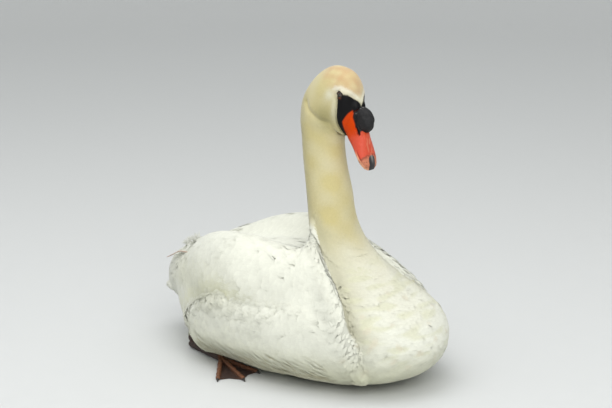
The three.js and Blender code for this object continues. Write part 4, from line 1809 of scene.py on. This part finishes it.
    def stern(self) -> None:
        """Long feathers of the folded wings, the tail's fan, and loose tufts over the rump."""
        coat = CoatBuilder(Tract.STERN, self.feathers)
        rng = np.random.default_rng(self.seed + 90)
        rings, around = 70, 60
        grid = Lobe(WING_STATIONS).grid(rings, around, WING_SHRINK)
        at = np.append(np.arange(-118.0, -240.0, -13.0), (-243.0, -250.0))
        for sign in (-1.0, 1.0):
            surface = Surface(grid if sign < 0 else grid * MIRROR)
            rows = np.interp(-at, -grid[:, 0, 0], np.arange(rings))
            row, column = np.meshgrid(rows, np.arange(0.0, around, 2.5), indexing="ij")
            column = column + 1.2 * (np.arange(len(at)) % 2)[:, None]
            n = row.size
            row = row.ravel() + rng.normal(0, 0.25, n)
            column = column.ravel() + rng.normal(0, 0.2, n)
            roots = Planting(surface, row, column, row, row, row, rng.normal(0, 0.05, n),
                             self.seed + 91, 1.0)
            x, y, z = roots.base().T
            full = np.clip(1.15 * (x - self.wing_end) + 8, 12, 60)
            roots.length = full * rng.normal(0.97, 0.04, n)
            roots.width = np.minimum(19.0, 0.55 * roots.length) * rng.normal(1, 0.07, n)
            roots.depth = 1.0 + 5.0 * smooth(-262, -222, x)
            roots.aimed((-1.0, 0.0, -0.55), 0.5)
            roots = roots.select((z > 70) & ((y * sign > 0) | (z > 100)))
            coat.grow(roots, QUILL, (-0.1, 0.55, 0.85, 0.95), 0.06)
            loose = roots.select(roots.base()[:, 0] > -236)
            coat.grow(loose.strands(self.seed + 93, 0.35), STRAND, (0.7, 0.9, 1.0, 1.08), 0.1)
        self.tail(coat, rng)
        self.tufts(coat, rng)
        self.long_quill()
        coat.finish()

    def tail(self, coat: CoatBuilder, rng: Random) -> None:
        """The tail's fan in two layers, and the loose feathers under it.

        Args:
            coat: Coat that the feathers join.
            rng: Source of the scatter.
        """
        surface = Surface(Lobe(TAIL_STATIONS).grid(50, 64, TAIL_SHRINK))
        columns = np.arange(0.0, surface.columns, 2.6)
        for x, length, width in self.tail_rows:
            row = np.interp(-x, -surface.points[:, 0, 0], np.arange(surface.rows))
            roots = Planting.scattered(
                surface, (np.full(len(columns), row), columns), (length, width, 4.0),
                (0.2, 0.2, 0.03, 0.06, 0.04), rng, self.seed + 95, 1.0, 0.97)
            coat.grow(roots, QUILL, (-0.1, 0.6, 0.9, 1.0), 0.06)

    def tufts(self, coat: CoatBuilder, rng: Random) -> None:
        """Small tufts standing up over the rear of the near wing, and a few on the other side.

        Args:
            coat: Coat that the feathers join.
            rng: Source of the scatter.
        """
        skin, number = self.body.skin, self.tuft_feathers
        for k, (*spot, height) in enumerate(self.tuft_spots):
            row, column = skin.nearest(np.array([spot], float))
            roots = Planting.scattered(
                skin, (row.repeat(number), column.repeat(number)), (14, 6.5, 4.0 * height),
                (0.7, 0.7, 0.15, 0.15, 0.35), rng, self.seed + 100 + k)
            coat.clothe(roots, self.seed + 110 + k, RAISED)

    def long_quill(self) -> None:
        """One long wing feather lying loose along the near wing's upper edge, past its end.

        Formula: a flat rod bowed along a curve through five points, its shaft a thin rod on it.
        """
        knots = np.array([[-130, -86, 170], [-160, -77, 165], [-184, -67, 160], [-208, -57, 149],
                          [-236, -47, 136]], float)
        path = hermite(np.arange(5.0), knots, np.linspace(0, 4, 40))
        t = np.linspace(0, 1, 40)
        half = 3.7 * np.sqrt(np.clip(t * 6, 0.05, 1)) * np.sqrt(np.clip((1 - t) * 4, 0.004, 1))
        vane = tube(path + np.array([0.0, 1.6, 1.2]), half, 16, 0.12, roll=0.64)
        shaft = tube(path[4:39] + np.array([0.0, -0.7, 0.9]), 0.95 - 0.45 * t[4:39], 8)
        both = joined([vane, shaft])
        mesh = make_mesh("quill_loose", Shell(both.vertices, both.split(), both.quads[:0]))
        tan = np.arange(len(both.vertices)) >= len(vane.vertices)
        # Painted shade: the loose quill is darkened to 0.82 of the plumage around it.
        colour = 0.82 * MARKS.plumage(both.vertices)
        set_tint(mesh, np.where(tan[:, None], MARKS.shaft, colour))
        spread = (both.vertices - both.vertices.min(0)) / np.ptp(both.vertices, 0).max()
        bake = 0.2 + 0.003 * spread[fetch(mesh.loops, "vertex_index")][:, [0, 2]]
        set_vane(mesh, np.zeros_like(both.vertices), bake)
        place(mesh, [self.feathers])

    def thighs(self) -> None:
        """Loose feathers over the thighs, running down to the feet."""
        coat = CoatBuilder(Tract.THIGHS, self.feathers)
        rng = np.random.default_rng(self.seed + 120)
        rows, columns = np.arange(3.0, 27.0, 1.6), np.arange(0.0, 36.0, 1.4)
        places = [part.ravel() for part in np.meshgrid(rows, columns, indexing="ij")]
        for k, leg in enumerate(self.legs):
            surface = Surface(leg.thigh_grid() * np.array([1, leg.side.value, 1]))
            roots = Planting.scattered(surface, places, (24, 12, 4.5),
                                       (0.3, 0.4, 0.12, 0.1, 0.12), rng, self.seed + 121 + k, 1.0)
            base = roots.base()
            roots.aimed((-1.0, 0.0, -0.35), 0.6)
            keep = (base[:, 2] > 3) & (base[:, 1] * leg.side.value > 62)
            coat.clothe(roots.select(keep), self.seed + 125 + k, HANGING)
        coat.finish()


# ---- skin ----


def tube(path: Array, radii: Array, around: int, flat: float = 1.0, roll: float = 0.0) -> Shell:
    """A round rod along a path in space.

    Formula: each ring stands across the path's slope; its height is the radius times flat, and its
    broad side is turned about the slope by the roll.

    Args:
        path: Points of the centre line.
        radii: Radius at each point.
        around: Points of a ring.
        flat: Height of the section over its width.
        roll: Turn of the section, in radians.

    Returns:
        The closed rod.
    """
    slope = unit(np.gradient(path, axis=0))
    level = unit(np.cross(slope, np.array([0.0, 0.0, 1.0])))
    aside = level * math.cos(roll) + np.cross(level, slope) * math.sin(roll)
    up = np.cross(aside, slope)
    phi = turns(around)
    ring = aside[:, None] * np.cos(phi)[:, None] + up[:, None] * np.sin(phi)[:, None] * flat
    return Shell.from_grid(path[:, None] + ring * radii[:, None, None])


@dataclass
class Leg:
    """One folded leg: thigh, shank along the floor, three webbed toes and their claws."""

    side: Side
    thigh_centre: tuple = (-92, 79, 39)
    thigh_radii: tuple = (43, 26, 31)
    heel: tuple = (-150, 74, 9)
    toe_root: tuple = (-62, 97, 6.5)
    toes: tuple = ((4, 92, 4.6), (27, 112, 5.0), (50, 104, 4.8))
    web_reach: float = 0.8

    def along(self, heading: Array | float, distance: Array, z: Array | float) -> Array:
        """Points at a distance from the toe root on a heading, at given heights."""
        angle = np.radians(heading)
        x, y, _ = self.toe_root
        return xyz(x + np.cos(angle) * distance, y + np.sin(angle) * distance, z)

    def toe(self, heading: float, length: float, radius: float) -> Shell:
        """A toe with swollen joints, thinner towards the claw.

        Args:
            heading: Bearing from straight ahead, in degrees.
            length: Length of the toe.
            radius: Radius at its root.

        Returns:
            The closed toe.
        """
        t = np.linspace(0, 0.93, 40)
        joints = sum(bell((t - at) / 0.035) for at in (0.3, 0.52, 0.72, 0.88))
        radii = radius * (0.92 - 0.34 * t + 0.12 * joints) * np.minimum(1, (1.0 - t) * 9 + 0.25)
        return tube(self.along(heading, length * t, radii + 0.3), radii, 16)

    def claw(self, heading: float, length: float, radius: float) -> Shell:
        """A blunt claw curving down to the floor.

        Args:
            heading: Bearing of its toe, in degrees.
            length: Length of the toe with its claw.
            radius: Radius at the toe's root.

        Returns:
            The closed claw.
        """
        t = np.linspace(0, 1, 14)
        radii = radius * 0.55 * (1 - t) ** 0.6 + 0.15
        z = radius * 0.62 * (1 - t**2) + 0.35
        return tube(self.along(heading, length * (0.885 + 0.115 * t), z + 0.1), radii, 12)

    def web(self, first: tuple, second: tuple) -> Shell:
        """The skin between two toes: a thin sheet with ribs, sagging, with a hollow front edge.

        Formula: rings run round the sheet's section from toe to toe, top out and bottom back.

        Args:
            first: Heading, length and radius of one toe.
            second: The same of the next toe.

        Returns:
            The closed sheet.
        """
        share = np.linspace(0.02, 1, 26)
        across = np.linspace(0, 1, 15)
        s, a = np.meshgrid(share, across, indexing="ij")
        heading = first[0] + (second[0] - first[0]) * a
        full = first[1] + (second[1] - first[1]) * a
        reach = full * (self.web_reach + 0.1 * (2 * a - 1) ** 2) * s
        rib = 0.25 * np.sin(a * math.pi * 7) * np.sin(s * math.pi)
        top = 2.0 + 1.8 * (2 * a - 1) ** 4 - 0.9 * s + rib
        upper = self.along(heading, reach, np.maximum(top, 1.2))
        return Shell.from_sheets(upper, self.along(heading, reach, 0.3))

    def shank(self) -> Shell:
        """The lower leg lying on the floor, thicker at the heel and at the toes' root."""
        t = np.linspace(-0.06, 1.04, 44)[:, None]
        path = np.array(self.heel) * (1 - t) + np.array(self.toe_root) * t
        t = t[:, 0]
        radii = 7.4 + 1.8 * bell(t / 0.16) + 0.9 * bell((t - 1) / 0.12)
        radii = radii * np.sqrt(np.clip(1 - ((t - 0.49) / 0.56) ** 8, 0.02, 1))
        path[:, 2] = radii * 0.86 + 0.3
        return tube(path, radii, 24, flat=0.86)

    def drumstick(self) -> Shell:
        """The bare lower end of the drumstick, from the heel up into the thigh's feathers."""
        t = np.linspace(0, 1, 20)[:, None]
        path = np.array([-153.0, 73.5, 13.0]) * (1 - t) + np.array([-116.0, 78.0, 44.0]) * t
        radii = (9.2 - 1.6 * np.sin(t[:, 0] * math.pi)) * np.sqrt(np.clip(t[:, 0] * 9 + 0.1, 0, 1))
        return tube(path, radii, 18)

    def thigh_grid(self) -> Array:
        """Ring grid of the feathered thigh by the body, an ellipsoid cut level at the floor."""
        u = np.linspace(0.04, math.pi - 0.04, 30)[:, None]
        v = turns(36)[None]
        grid = xyz(np.cos(u), np.sin(u) * np.cos(v), np.sin(u) * np.sin(v))
        points = grid * np.array(self.thigh_radii) + np.array(self.thigh_centre)
        points[..., 2] = np.maximum(points[..., 2], 0.5)
        return points

    def limb(self) -> list[Shell]:
        """Everything of the leg that belongs to the skin, on its own side."""
        parts = [Shell.from_grid(self.thigh_grid()), self.shank(), self.drumstick()]
        parts += [self.toe(*one) for one in self.toes]
        parts += [self.web(a, b) for a, b in zip(self.toes[:-1], self.toes[1:])]
        return self.on_side(parts)

    def claws(self) -> list[Shell]:
        """The three claws on their own side."""
        return self.on_side([self.claw(*one) for one in self.toes])

    def on_side(self, parts: list[Shell]) -> list[Shell]:
        """Shells built for the left leg, mirrored for the right one."""
        return [p.mirrored() for p in parts] if self.side is Side.RIGHT else parts

    def colour(self, points: Array) -> Array:
        """Dark web and shank, with redder toes and joints, their upper parts lighter partly as
        painted light.

        Args:
            points: Places on the legs.

        Returns:
            One colour for each place.
        """
        flat = np.stack([points[..., 0], np.abs(points[..., 1])], -1)
        near = np.full(points.shape[:-1], np.inf)
        for heading, length, _ in self.toes:
            ends = self.along(heading, np.array([0.0, length]), 0.0)[:, :2]
            near = np.minimum(near, polyline_distance(flat, ends)[0])
        # Lighter, redder toe tops: partly the toes' own colour, partly painted light.
        toe = smooth(6.0, 3.0, near) * smooth(0.8, 3.5, points[..., 2])
        return MARKS.mix(MARKS.web, (MARKS.toe, 0.8 * toe + 0.12 * waves(points, 11, 31)))


@dataclass
class Skin:
    """The one skin of the bird: body, folded wings, tail, thighs, legs and webbed feet."""

    body: Body
    legs: tuple
    covered: int = 0
    bare: int = 1
    leg: int = 2
    wing_rear: int = 8

    def parts(self) -> list:
        """The closed parts that join the body, each with the number of its material.

        Returns:
            Pairs of a shell and a material number.
        """
        wing = Shell.from_grid(Lobe(WING_STATIONS[self.wing_rear:]).grid(26, 32, WING_SHRINK))
        tail = Shell.from_grid(Lobe(TAIL_STATIONS).grid(24, 32, TAIL_SHRINK))
        parts = [(shell, self.covered) for shell in (wing, wing.mirrored(), tail)]
        for leg in self.legs:
            thigh, *rest = leg.limb()
            parts += [(thigh, self.covered)] + [(one, self.leg) for one in rest]
        return parts

    def build(self, materials: list) -> Object:
        """Joins all parts by Boolean union and colours the result.

        Args:
            materials: Skin under feathers, lore skin and leg skin.

        Returns:
            The skin piece.
        """
        main = make_mesh("skin_build", Shell.from_grid(self.body.skin.points))
        base = shown("skin_build", main)
        helpers = []
        for k, (shell, index) in enumerate(self.parts()):
            mesh = make_mesh(f"skin_part_{k}", shell)
            indices = np.full(len(mesh.polygons), index, np.int32)
            mesh.polygons.foreach_set("material_index", indices)
            helper = shown(mesh.name, mesh)
            helpers.append(helper)
            cut = base.modifiers.new(helper.name, "BOOLEAN")
            cut.operation = "UNION"
            cut.solver = "MANIFOLD"
            cut.object = helper
        for mesh in [base.data] + [h.data for h in helpers]:
            for material in materials:
                mesh.materials.append(material)
        graph = bpy.context.evaluated_depsgraph_get()
        mesh = bpy.data.meshes.new_from_object(base.evaluated_get(graph))
        mesh.name = "skin"
        for one in helpers + [base]:
            bpy.data.objects.remove(one)
        index = fetch(mesh.polygons, "material_index")
        mesh.materials.clear()
        self.dress(mesh, index)
        return place(mesh, materials, (
            "trunk", "neck_lower", "neck_middle", "neck_upper", "head", "wing_left", "wing_right",
            "wing_tip_left", "wing_tip_right", "tail", "thigh_left", "thigh_right", "shank_left",
            "shank_right", "foot_left", "foot_right"))

    def dress(self, mesh: Mesh, index: Array) -> None:
        """Gives every vertex its colour and the bare face its own material.

        Args:
            mesh: The joined skin.
            index: Material number of each face, as the parts had it.
        """
        centres = fetch_points(mesh.polygons, "center")
        on_head = (centres[:, 2] > 380) & (index == self.covered)
        bare, legs = (bare_depth(centres) > -0.8) & on_head, index == self.leg
        index[bare] = self.bare
        mesh.polygons.foreach_set("material_index", index)
        LOG.info("skin: %d faces of legs, %d bare", legs.sum(), bare.sum())
        points = fetch_points(mesh.vertices)
        corners = np.repeat(legs, fetch(mesh.polygons, "loop_total"))
        leg = np.zeros(len(points), bool)
        leg[fetch(mesh.loops, "vertex_index")[corners]] = True
        set_tint(mesh, np.where(leg[:, None], self.legs[0].colour(points), MARKS.face(points)))
        mesh.polygons.foreach_set("use_smooth", np.ones(len(mesh.polygons), bool))


# ---- head pieces ----


@dataclass
class Bill:
    """The two halves of the bill with the gape between them, and the nail on the tip."""

    rings: int = 150
    around: int = 96

    def form(self) -> Array:
        """Ring grid of the whole bill with its relief.

        Formula: the loft, with a slit pressed in for each nostril, a shallow furrow above the rim,
        and a swelling along the rim.

        Returns:
            Rings x points x 3.
        """
        loft = Loft(tuple(level_station(row) for row in BILL_STATIONS))
        end = loft.knots()[-1]
        t = np.linspace(0, 1, self.rings)
        grid = loft.grid(end * (1 - (1 - t) ** 1.25), self.around)
        surface = Surface(grid)
        f, u = head_level(grid)
        side = np.abs(grid[..., 1])
        slit, _ = polyline_distance(np.stack([f, u], -1), np.array([(53.5, -21.8), (64, -24.6)]))
        relief = -2.4 * bell(slit / 1.25) * smooth(5, 8, side)
        relief += 0.35 * bell((slit - 2.6) / 1.2) * smooth(5, 8, side)
        above = above_gape(f, u)
        relief -= 0.5 * bell((above - 4.2) / 1.1) * smooth(62, 80, f)
        relief += 0.4 * bell((above - 1.5) / 1.3) * smooth(55, 75, f)
        relief += 0.12 * waves(grid * np.array([0.6, 1.6, 0.6]), 6, 61)
        return grid + surface.normals * relief[..., None]

    def part(self, name: str, keep_above: bool | None) -> Mesh:
        """Cuts one half of the bill out of the whole.

        Args:
            name: Name of the mesh.
            keep_above: True for the upper half, False for the lower one.

        Returns:
            The closed half.
        """
        mesh = make_mesh(name, Shell.from_grid(self.form()))
        (f0, u0), (f1, u1) = GAPE
        ax, az = head_point(f0, u0)
        bx, bz = head_point(f1, u1)
        normal = np.array([-(bz - az), 0.0, bx - ax])
        normal = normal / np.linalg.norm(normal)
        if normal @ np.array([1.0, 0.0, 1.0]) < 0:
            normal = -normal
        shift = 0.25 if keep_above else -0.25
        point = (np.array([ax, 0.0, az]) + normal * shift) * MM
        work = bmesh.new()
        work.from_mesh(mesh)
        cut = bmesh.ops.bisect_plane(
            work, geom=work.verts[:] + work.edges[:] + work.faces[:], plane_co=point,
            plane_no=normal, clear_inner=bool(keep_above), clear_outer=not keep_above)
        edges = [e for e in cut["geom_cut"] if isinstance(e, bmesh.types.BMEdge)]
        bmesh.ops.holes_fill(work, edges=edges, sides=0)
        bmesh.ops.triangulate(work, faces=[p for p in work.faces if len(p.verts) > 4])
        bmesh.ops.recalc_face_normals(work, faces=work.faces[:])
        for face in work.faces:
            face.smooth = True
        work.to_mesh(mesh)
        work.free()
        mesh.set_sharp_from_angle(angle=math.radians(40))
        return mesh

    def nail(self) -> Shell:
        """The hard nail over the tip.

        Formula: a patch of the bill's own upper surface on both sides of the ridge, its half width
        a power curve of its length, raised by a rounded height that falls to the edges, over the
        same patch sunk a little below the surface.

        Returns:
            The closed nail.
        """
        form = self.form()
        surface = Surface(form)
        f, _ = head_level(form[:, 0])
        t, a = np.meshgrid(np.linspace(0, 1, 30), np.linspace(-1, 1, 21), indexing="ij")
        row = np.interp(NAIL_FORWARD - 4.0 + 15.0 * t, f, np.arange(self.rings))
        rounded = np.clip(1 - (1 - 1.6 * t) ** 4 * (t < 0.625), 0.03, 1) ** 0.5
        half = 8.6 * rounded * (1 - 0.12 * t**3)
        _, columns = surface.steps(row, 0 * row, np.array([0.0, -1.0, 0.0]))
        points, normals = surface.at(row, a * half * columns)
        high = 0.2 + 1.0 * (1 - np.abs(a) ** 3) * np.sin(np.clip(t * 1.3, 0, 1) * math.pi / 2)
        upper = points + normals * high[..., None]
        upper[..., 2] -= 2.2 * smooth(0.75, 1.0, t)
        return Shell.from_sheets(upper, points - normals * 1.2)

    def build(self, skin: Material, horn: Material) -> None:
        """Shows the two halves and the nail.

        Args:
            skin: Material of the bill.
            horn: Material of the nail.
        """
        for name, above in (("bill_upper_skin", True), ("bill_lower_skin", False)):
            mesh = self.part(name, above)
            set_tint(mesh, MARKS.bill(fetch_points(mesh.vertices)))
            place(mesh, [skin], ("bill_upper" if above else "bill_lower",))
        mesh = make_mesh("nail_horn", self.nail())
        points = fetch_points(mesh.vertices)
        f, _ = head_level(points)
        # Painted highlight: a grey strip down the nail's middle, fading out towards its tip.
        painted_highlight = smooth(112, 98, f) * bell(points[:, 1] / 2.6)
        set_tint(mesh, MARKS.mix(MARKS.nail, (MARKS.nail_highlight, painted_highlight)))
        place(mesh, [horn], ("bill_nail",))


@dataclass
class Knob:
    """The black fleshy knob over the base of the bill."""

    forward: float = 47.5
    up: float = -7.0
    radii: tuple = (21.0, 13.0, 16.0)
    slope: float = math.radians(73)

    def build(self, material: Material) -> None:
        """Shows the knob.

        Formula: an ellipsoid whose radius swells a little towards its lower front; its top is drawn
        up and back into the forehead and widened into the lores; shallow lumps from soft waves.

        Args:
            material: Material of the knob.
        """
        u = np.linspace(0.03, math.pi - 0.03, 80)[:, None]
        v = turns(90)[None]
        ball = xyz(np.cos(u), np.sin(u) * np.sin(v), np.sin(u) * np.cos(v))
        swell = 1 + 0.06 * ball[..., 0] - 0.05 * np.abs(ball[..., 1]) ** 3
        top = smooth(0.1, -1.0, ball[..., 0])
        base = smooth(0.35, -0.8, ball[..., 2])
        ball = ball * swell[..., None]
        ball[..., 1] *= 1 + 0.22 * top * base
        ball = ball * np.array(self.radii)
        ball[..., 0] -= 1.0 * top**2
        ball[..., 2] -= 4.0 * top**2
        lumps = 0.35 * waves(ball, 11, 71) + (0.16 + 0.2 * top) * waves(ball, 4.2, 72)
        ball = ball + unit(ball) * lumps[..., None]
        c, s = math.cos(self.slope), math.sin(self.slope)
        cx, cz = head_point(self.forward, self.up)
        x = cx + ball[..., 0] * c + ball[..., 2] * s
        z = cz - ball[..., 0] * s + ball[..., 2] * c
        mesh = make_mesh("knob_skin", Shell.from_grid(xyz(x, ball[..., 1], z)))
        points = fetch_points(mesh.vertices)
        worn = 0.5 + 0.5 * waves(points, 9, 73)
        f, _ = head_level(points)
        flecks = smooth(39, 31, f) * smooth(0.45, 0.8, waves(points, 4.2, 74))
        set_tint(mesh, MARKS.mix(MARKS.knob, (MARKS.knob_worn, worn), (MARKS.fleck, flecks)))
        place(mesh, [material], ("knob",))


@dataclass
class Eye:
    """One eye: ball with pupil and iris under a clear front, between two lids."""

    side: Side

    def axes(self) -> tuple[Array, Array, Array]:
        """Sight line, outwards and a little forwards; forwards along the head; up across it."""
        look = unit(np.array([0.18, self.side.value, 0.02]))
        c, s = math.cos(HEAD_PITCH), math.sin(HEAD_PITCH)
        ahead = np.array([c, 0.0, -s])
        ahead = unit(ahead - (ahead @ look) * look)
        above = np.cross(look, ahead)
        if above @ np.array([s, 0.0, c]) < 0:
            above = -above
        return look, ahead, above

    def centre(self) -> Array:
        """Centre of the ball."""
        return np.array([EYE_CENTRE[0], self.side.value * EYE_CENTRE[1], EYE_CENTRE[2]])

    def name(self) -> str:
        """The side as the names of the pieces have it."""
        return self.side.name.lower()

    def ball(self) -> Mesh:
        """The ball with its pupil and iris.

        Formula: a sphere with a slight bulge about its sight line; colours by the distance from it.

        Returns:
            The coloured ball.
        """
        look, ahead, above = self.axes()
        u = np.linspace(0.02, math.pi - 0.02, 60)[:, None]
        v = turns(64)[None]
        radius = EYE_RADIUS + 0.25 * bell(u / 0.45) + 0 * v
        flat = (np.sin(u) * radius)[..., None]
        spin = np.cos(v)[..., None] * ahead + np.sin(v)[..., None] * above
        ball = self.centre() + (np.cos(u) * radius)[..., None] * look + flat * spin
        mesh = make_mesh(f"eye_ball_{self.name()}", Shell.from_grid(ball))
        points = fetch_points(mesh.vertices) - self.centre()
        off = np.arccos(np.clip((unit(points) @ look), -1, 1)) * EYE_RADIUS
        set_tint(mesh, MARKS.mix(MARKS.pupil, (MARKS.iris, smooth(2.0, 2.4, off)),
                                 (MARKS.ball, smooth(3.4, 3.9, off))))
        return mesh

    def lids(self) -> Shell:
        """Both lids.

        Formula: a rounded ring on the ball, longer along the head than across it, thicker above.

        Returns:
            The closed ring.
        """
        look, ahead, above = self.axes()
        t = turns(72)
        across, along = 3.35 + 0.2 * np.sin(t), 4.5
        reach = np.stack([along * np.cos(t), across * np.sin(t)], -1)
        away = np.sqrt(np.clip((EYE_RADIUS + 0.1) ** 2 - (reach**2).sum(-1), 1, None))
        path = self.centre() + away[:, None] * look + reach[:, :1] * ahead + reach[:, 1:] * above
        outward = unit(reach[:, :1] * ahead + reach[:, 1:] * above)
        w = turns(14)
        thick = 0.75 + 0.25 * (np.sin(t) > 0) * np.sin(t)
        ring = (np.cos(w)[None, :, None] * outward[:, None] * 1.25
                + np.sin(w)[None, :, None] * look) * thick[:, None, None]
        return Shell.from_loop(path[:, None] + ring)

    def build(self, wet: Material, lid: Material) -> None:
        """Shows ball and lids.

        Args:
            wet: Material of the ball.
            lid: Material of the lids.
        """
        place(self.ball(), [wet], (f"eye_{self.name()}",))
        place(make_mesh(f"eye_lid_{self.name()}", self.lids(), MARKS.lid), [lid])


# ---- stage ----


@dataclass
class Stage:
    """Plain pale floor with a rising back, soft studio light, and the camera."""

    target: tuple = (60.0, 0.0, 225.0)
    azimuth: float = 50.0
    elevation: float = 14.0
    distance: float = 2600.0
    lens: float = 94.8
    sensor: float = 36.0
    aside: float = -16.1
    above: float = 41.1
    room: float = 9000.0
    floor_colour: tuple = (0.56, 0.57, 0.56)
    lamps: tuple = (
        ("overhead", (-0.2, -0.5, 2.6), 2.6, 33.0),
        ("front", (2.1, -1.7, 1.9), 2.6, 62.0),
    )
    lit: tuple = (0.03, 0.0, 0.2)

    def floor(self) -> None:
        """A wide sheet: flat under the bird, curving up far behind it."""
        x = np.linspace(-1, 1, 81)
        a, b = np.meshgrid(x, x, indexing="ij")
        rise = np.maximum(np.hypot(a, b) * self.room - self.room / 2, 0) ** 2 / 5200
        grid = xyz(a * self.room, b * self.room, rise)
        quads = grid_quads(np.arange(len(x)), np.arange(len(x)), len(x))
        shell = Shell(grid.reshape(-1, 3), np.zeros((0, 3), int), quads)
        mesh = make_mesh("floor", shell, self.floor_colour)
        mesh.materials.append(FLOOR_PAINT.build())
        shown("floor", mesh)

    def light(self) -> None:
        """A bright even sky, a broad soft light overhead and a weaker one from the front."""
        world = bpy.data.worlds.new("studio")
        bpy.context.scene.world = world
        world.use_nodes = True
        graph = Graph(world.node_tree)
        sky = {"Color": (0.97, 0.985, 1.0, 1), "Strength": 0.9}
        background = graph.add("ShaderNodeBackground", sky)
        graph.add("ShaderNodeOutputWorld", {"Surface": background.outputs[0]})
        for name, spot, size, power in self.lamps:
            lamp = bpy.data.lights.new(name, "AREA")
            lamp.shape, lamp.size, lamp.energy = "DISK", size, power
            self.point(shown(name, lamp), np.array(spot), np.array(self.lit))

    def camera(self) -> None:
        """The camera on its bearing, turned so that the bird stands right in the frame."""
        e, a = math.radians(self.elevation), math.radians(self.azimuth)
        back = np.array([math.cos(a) * math.cos(e), -math.sin(a) * math.cos(e), math.sin(e)])
        right = np.array([math.sin(a), math.cos(a), 0.0])
        up = np.cross(back, right)
        spot = np.array(self.target) + back * self.distance
        look = np.array(self.target) + self.aside * right + self.above * up
        data = bpy.data.cameras.new("camera")
        data.lens, data.sensor_width, data.clip_end = self.lens, self.sensor, 60.0
        camera = shown("camera", data)
        self.point(camera, spot * MM, look * MM)
        bpy.context.scene.camera = camera

    @staticmethod
    def point(thing: Object, spot: Array, look: Array) -> None:
        """Stands a lamp or camera at a spot, in metres, facing another, with its top upwards."""
        thing.location = tuple(spot)
        thing.rotation_mode = "QUATERNION"
        thing.rotation_quaternion = Vector((look - spot).tolist()).to_track_quat("-Z", "Y")

    def build(self) -> None:
        """Sets up floor, light, camera and a plain display of colours."""
        bpy.context.scene.view_settings.view_transform = "Standard"
        self.floor()
        self.light()
        self.camera()


# ---- assembly ----


def main() -> None:
    """Builds the stage and the bird in order."""
    logging.basicConfig(level=logging.INFO, format="%(name)s: %(message)s")
    Stage().build()
    body = Body()
    legs = (Leg(Side.LEFT), Leg(Side.RIGHT))
    under, lore, leg = UNDER_SKIN.build(), LORE_SKIN.build(), LEG_SKIN.build()
    Skin(body, legs).build([under, lore, leg])
    horn = HORN.build()
    Bill().build(BILL_SKIN.build(), horn)
    Knob().build(KNOB_SKIN.build())
    wet = EYE_WET.build()
    for side in Side:
        Eye(side).build(wet, lore)
    claws = joined([claw for one in legs for claw in one.claws()])
    place(make_mesh("claws", claws, MARKS.claw), [horn])
    Plumage(body, legs, FEATHERS.build(), DOWN.build()).build()
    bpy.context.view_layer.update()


if __name__ == "__main__":
    main()
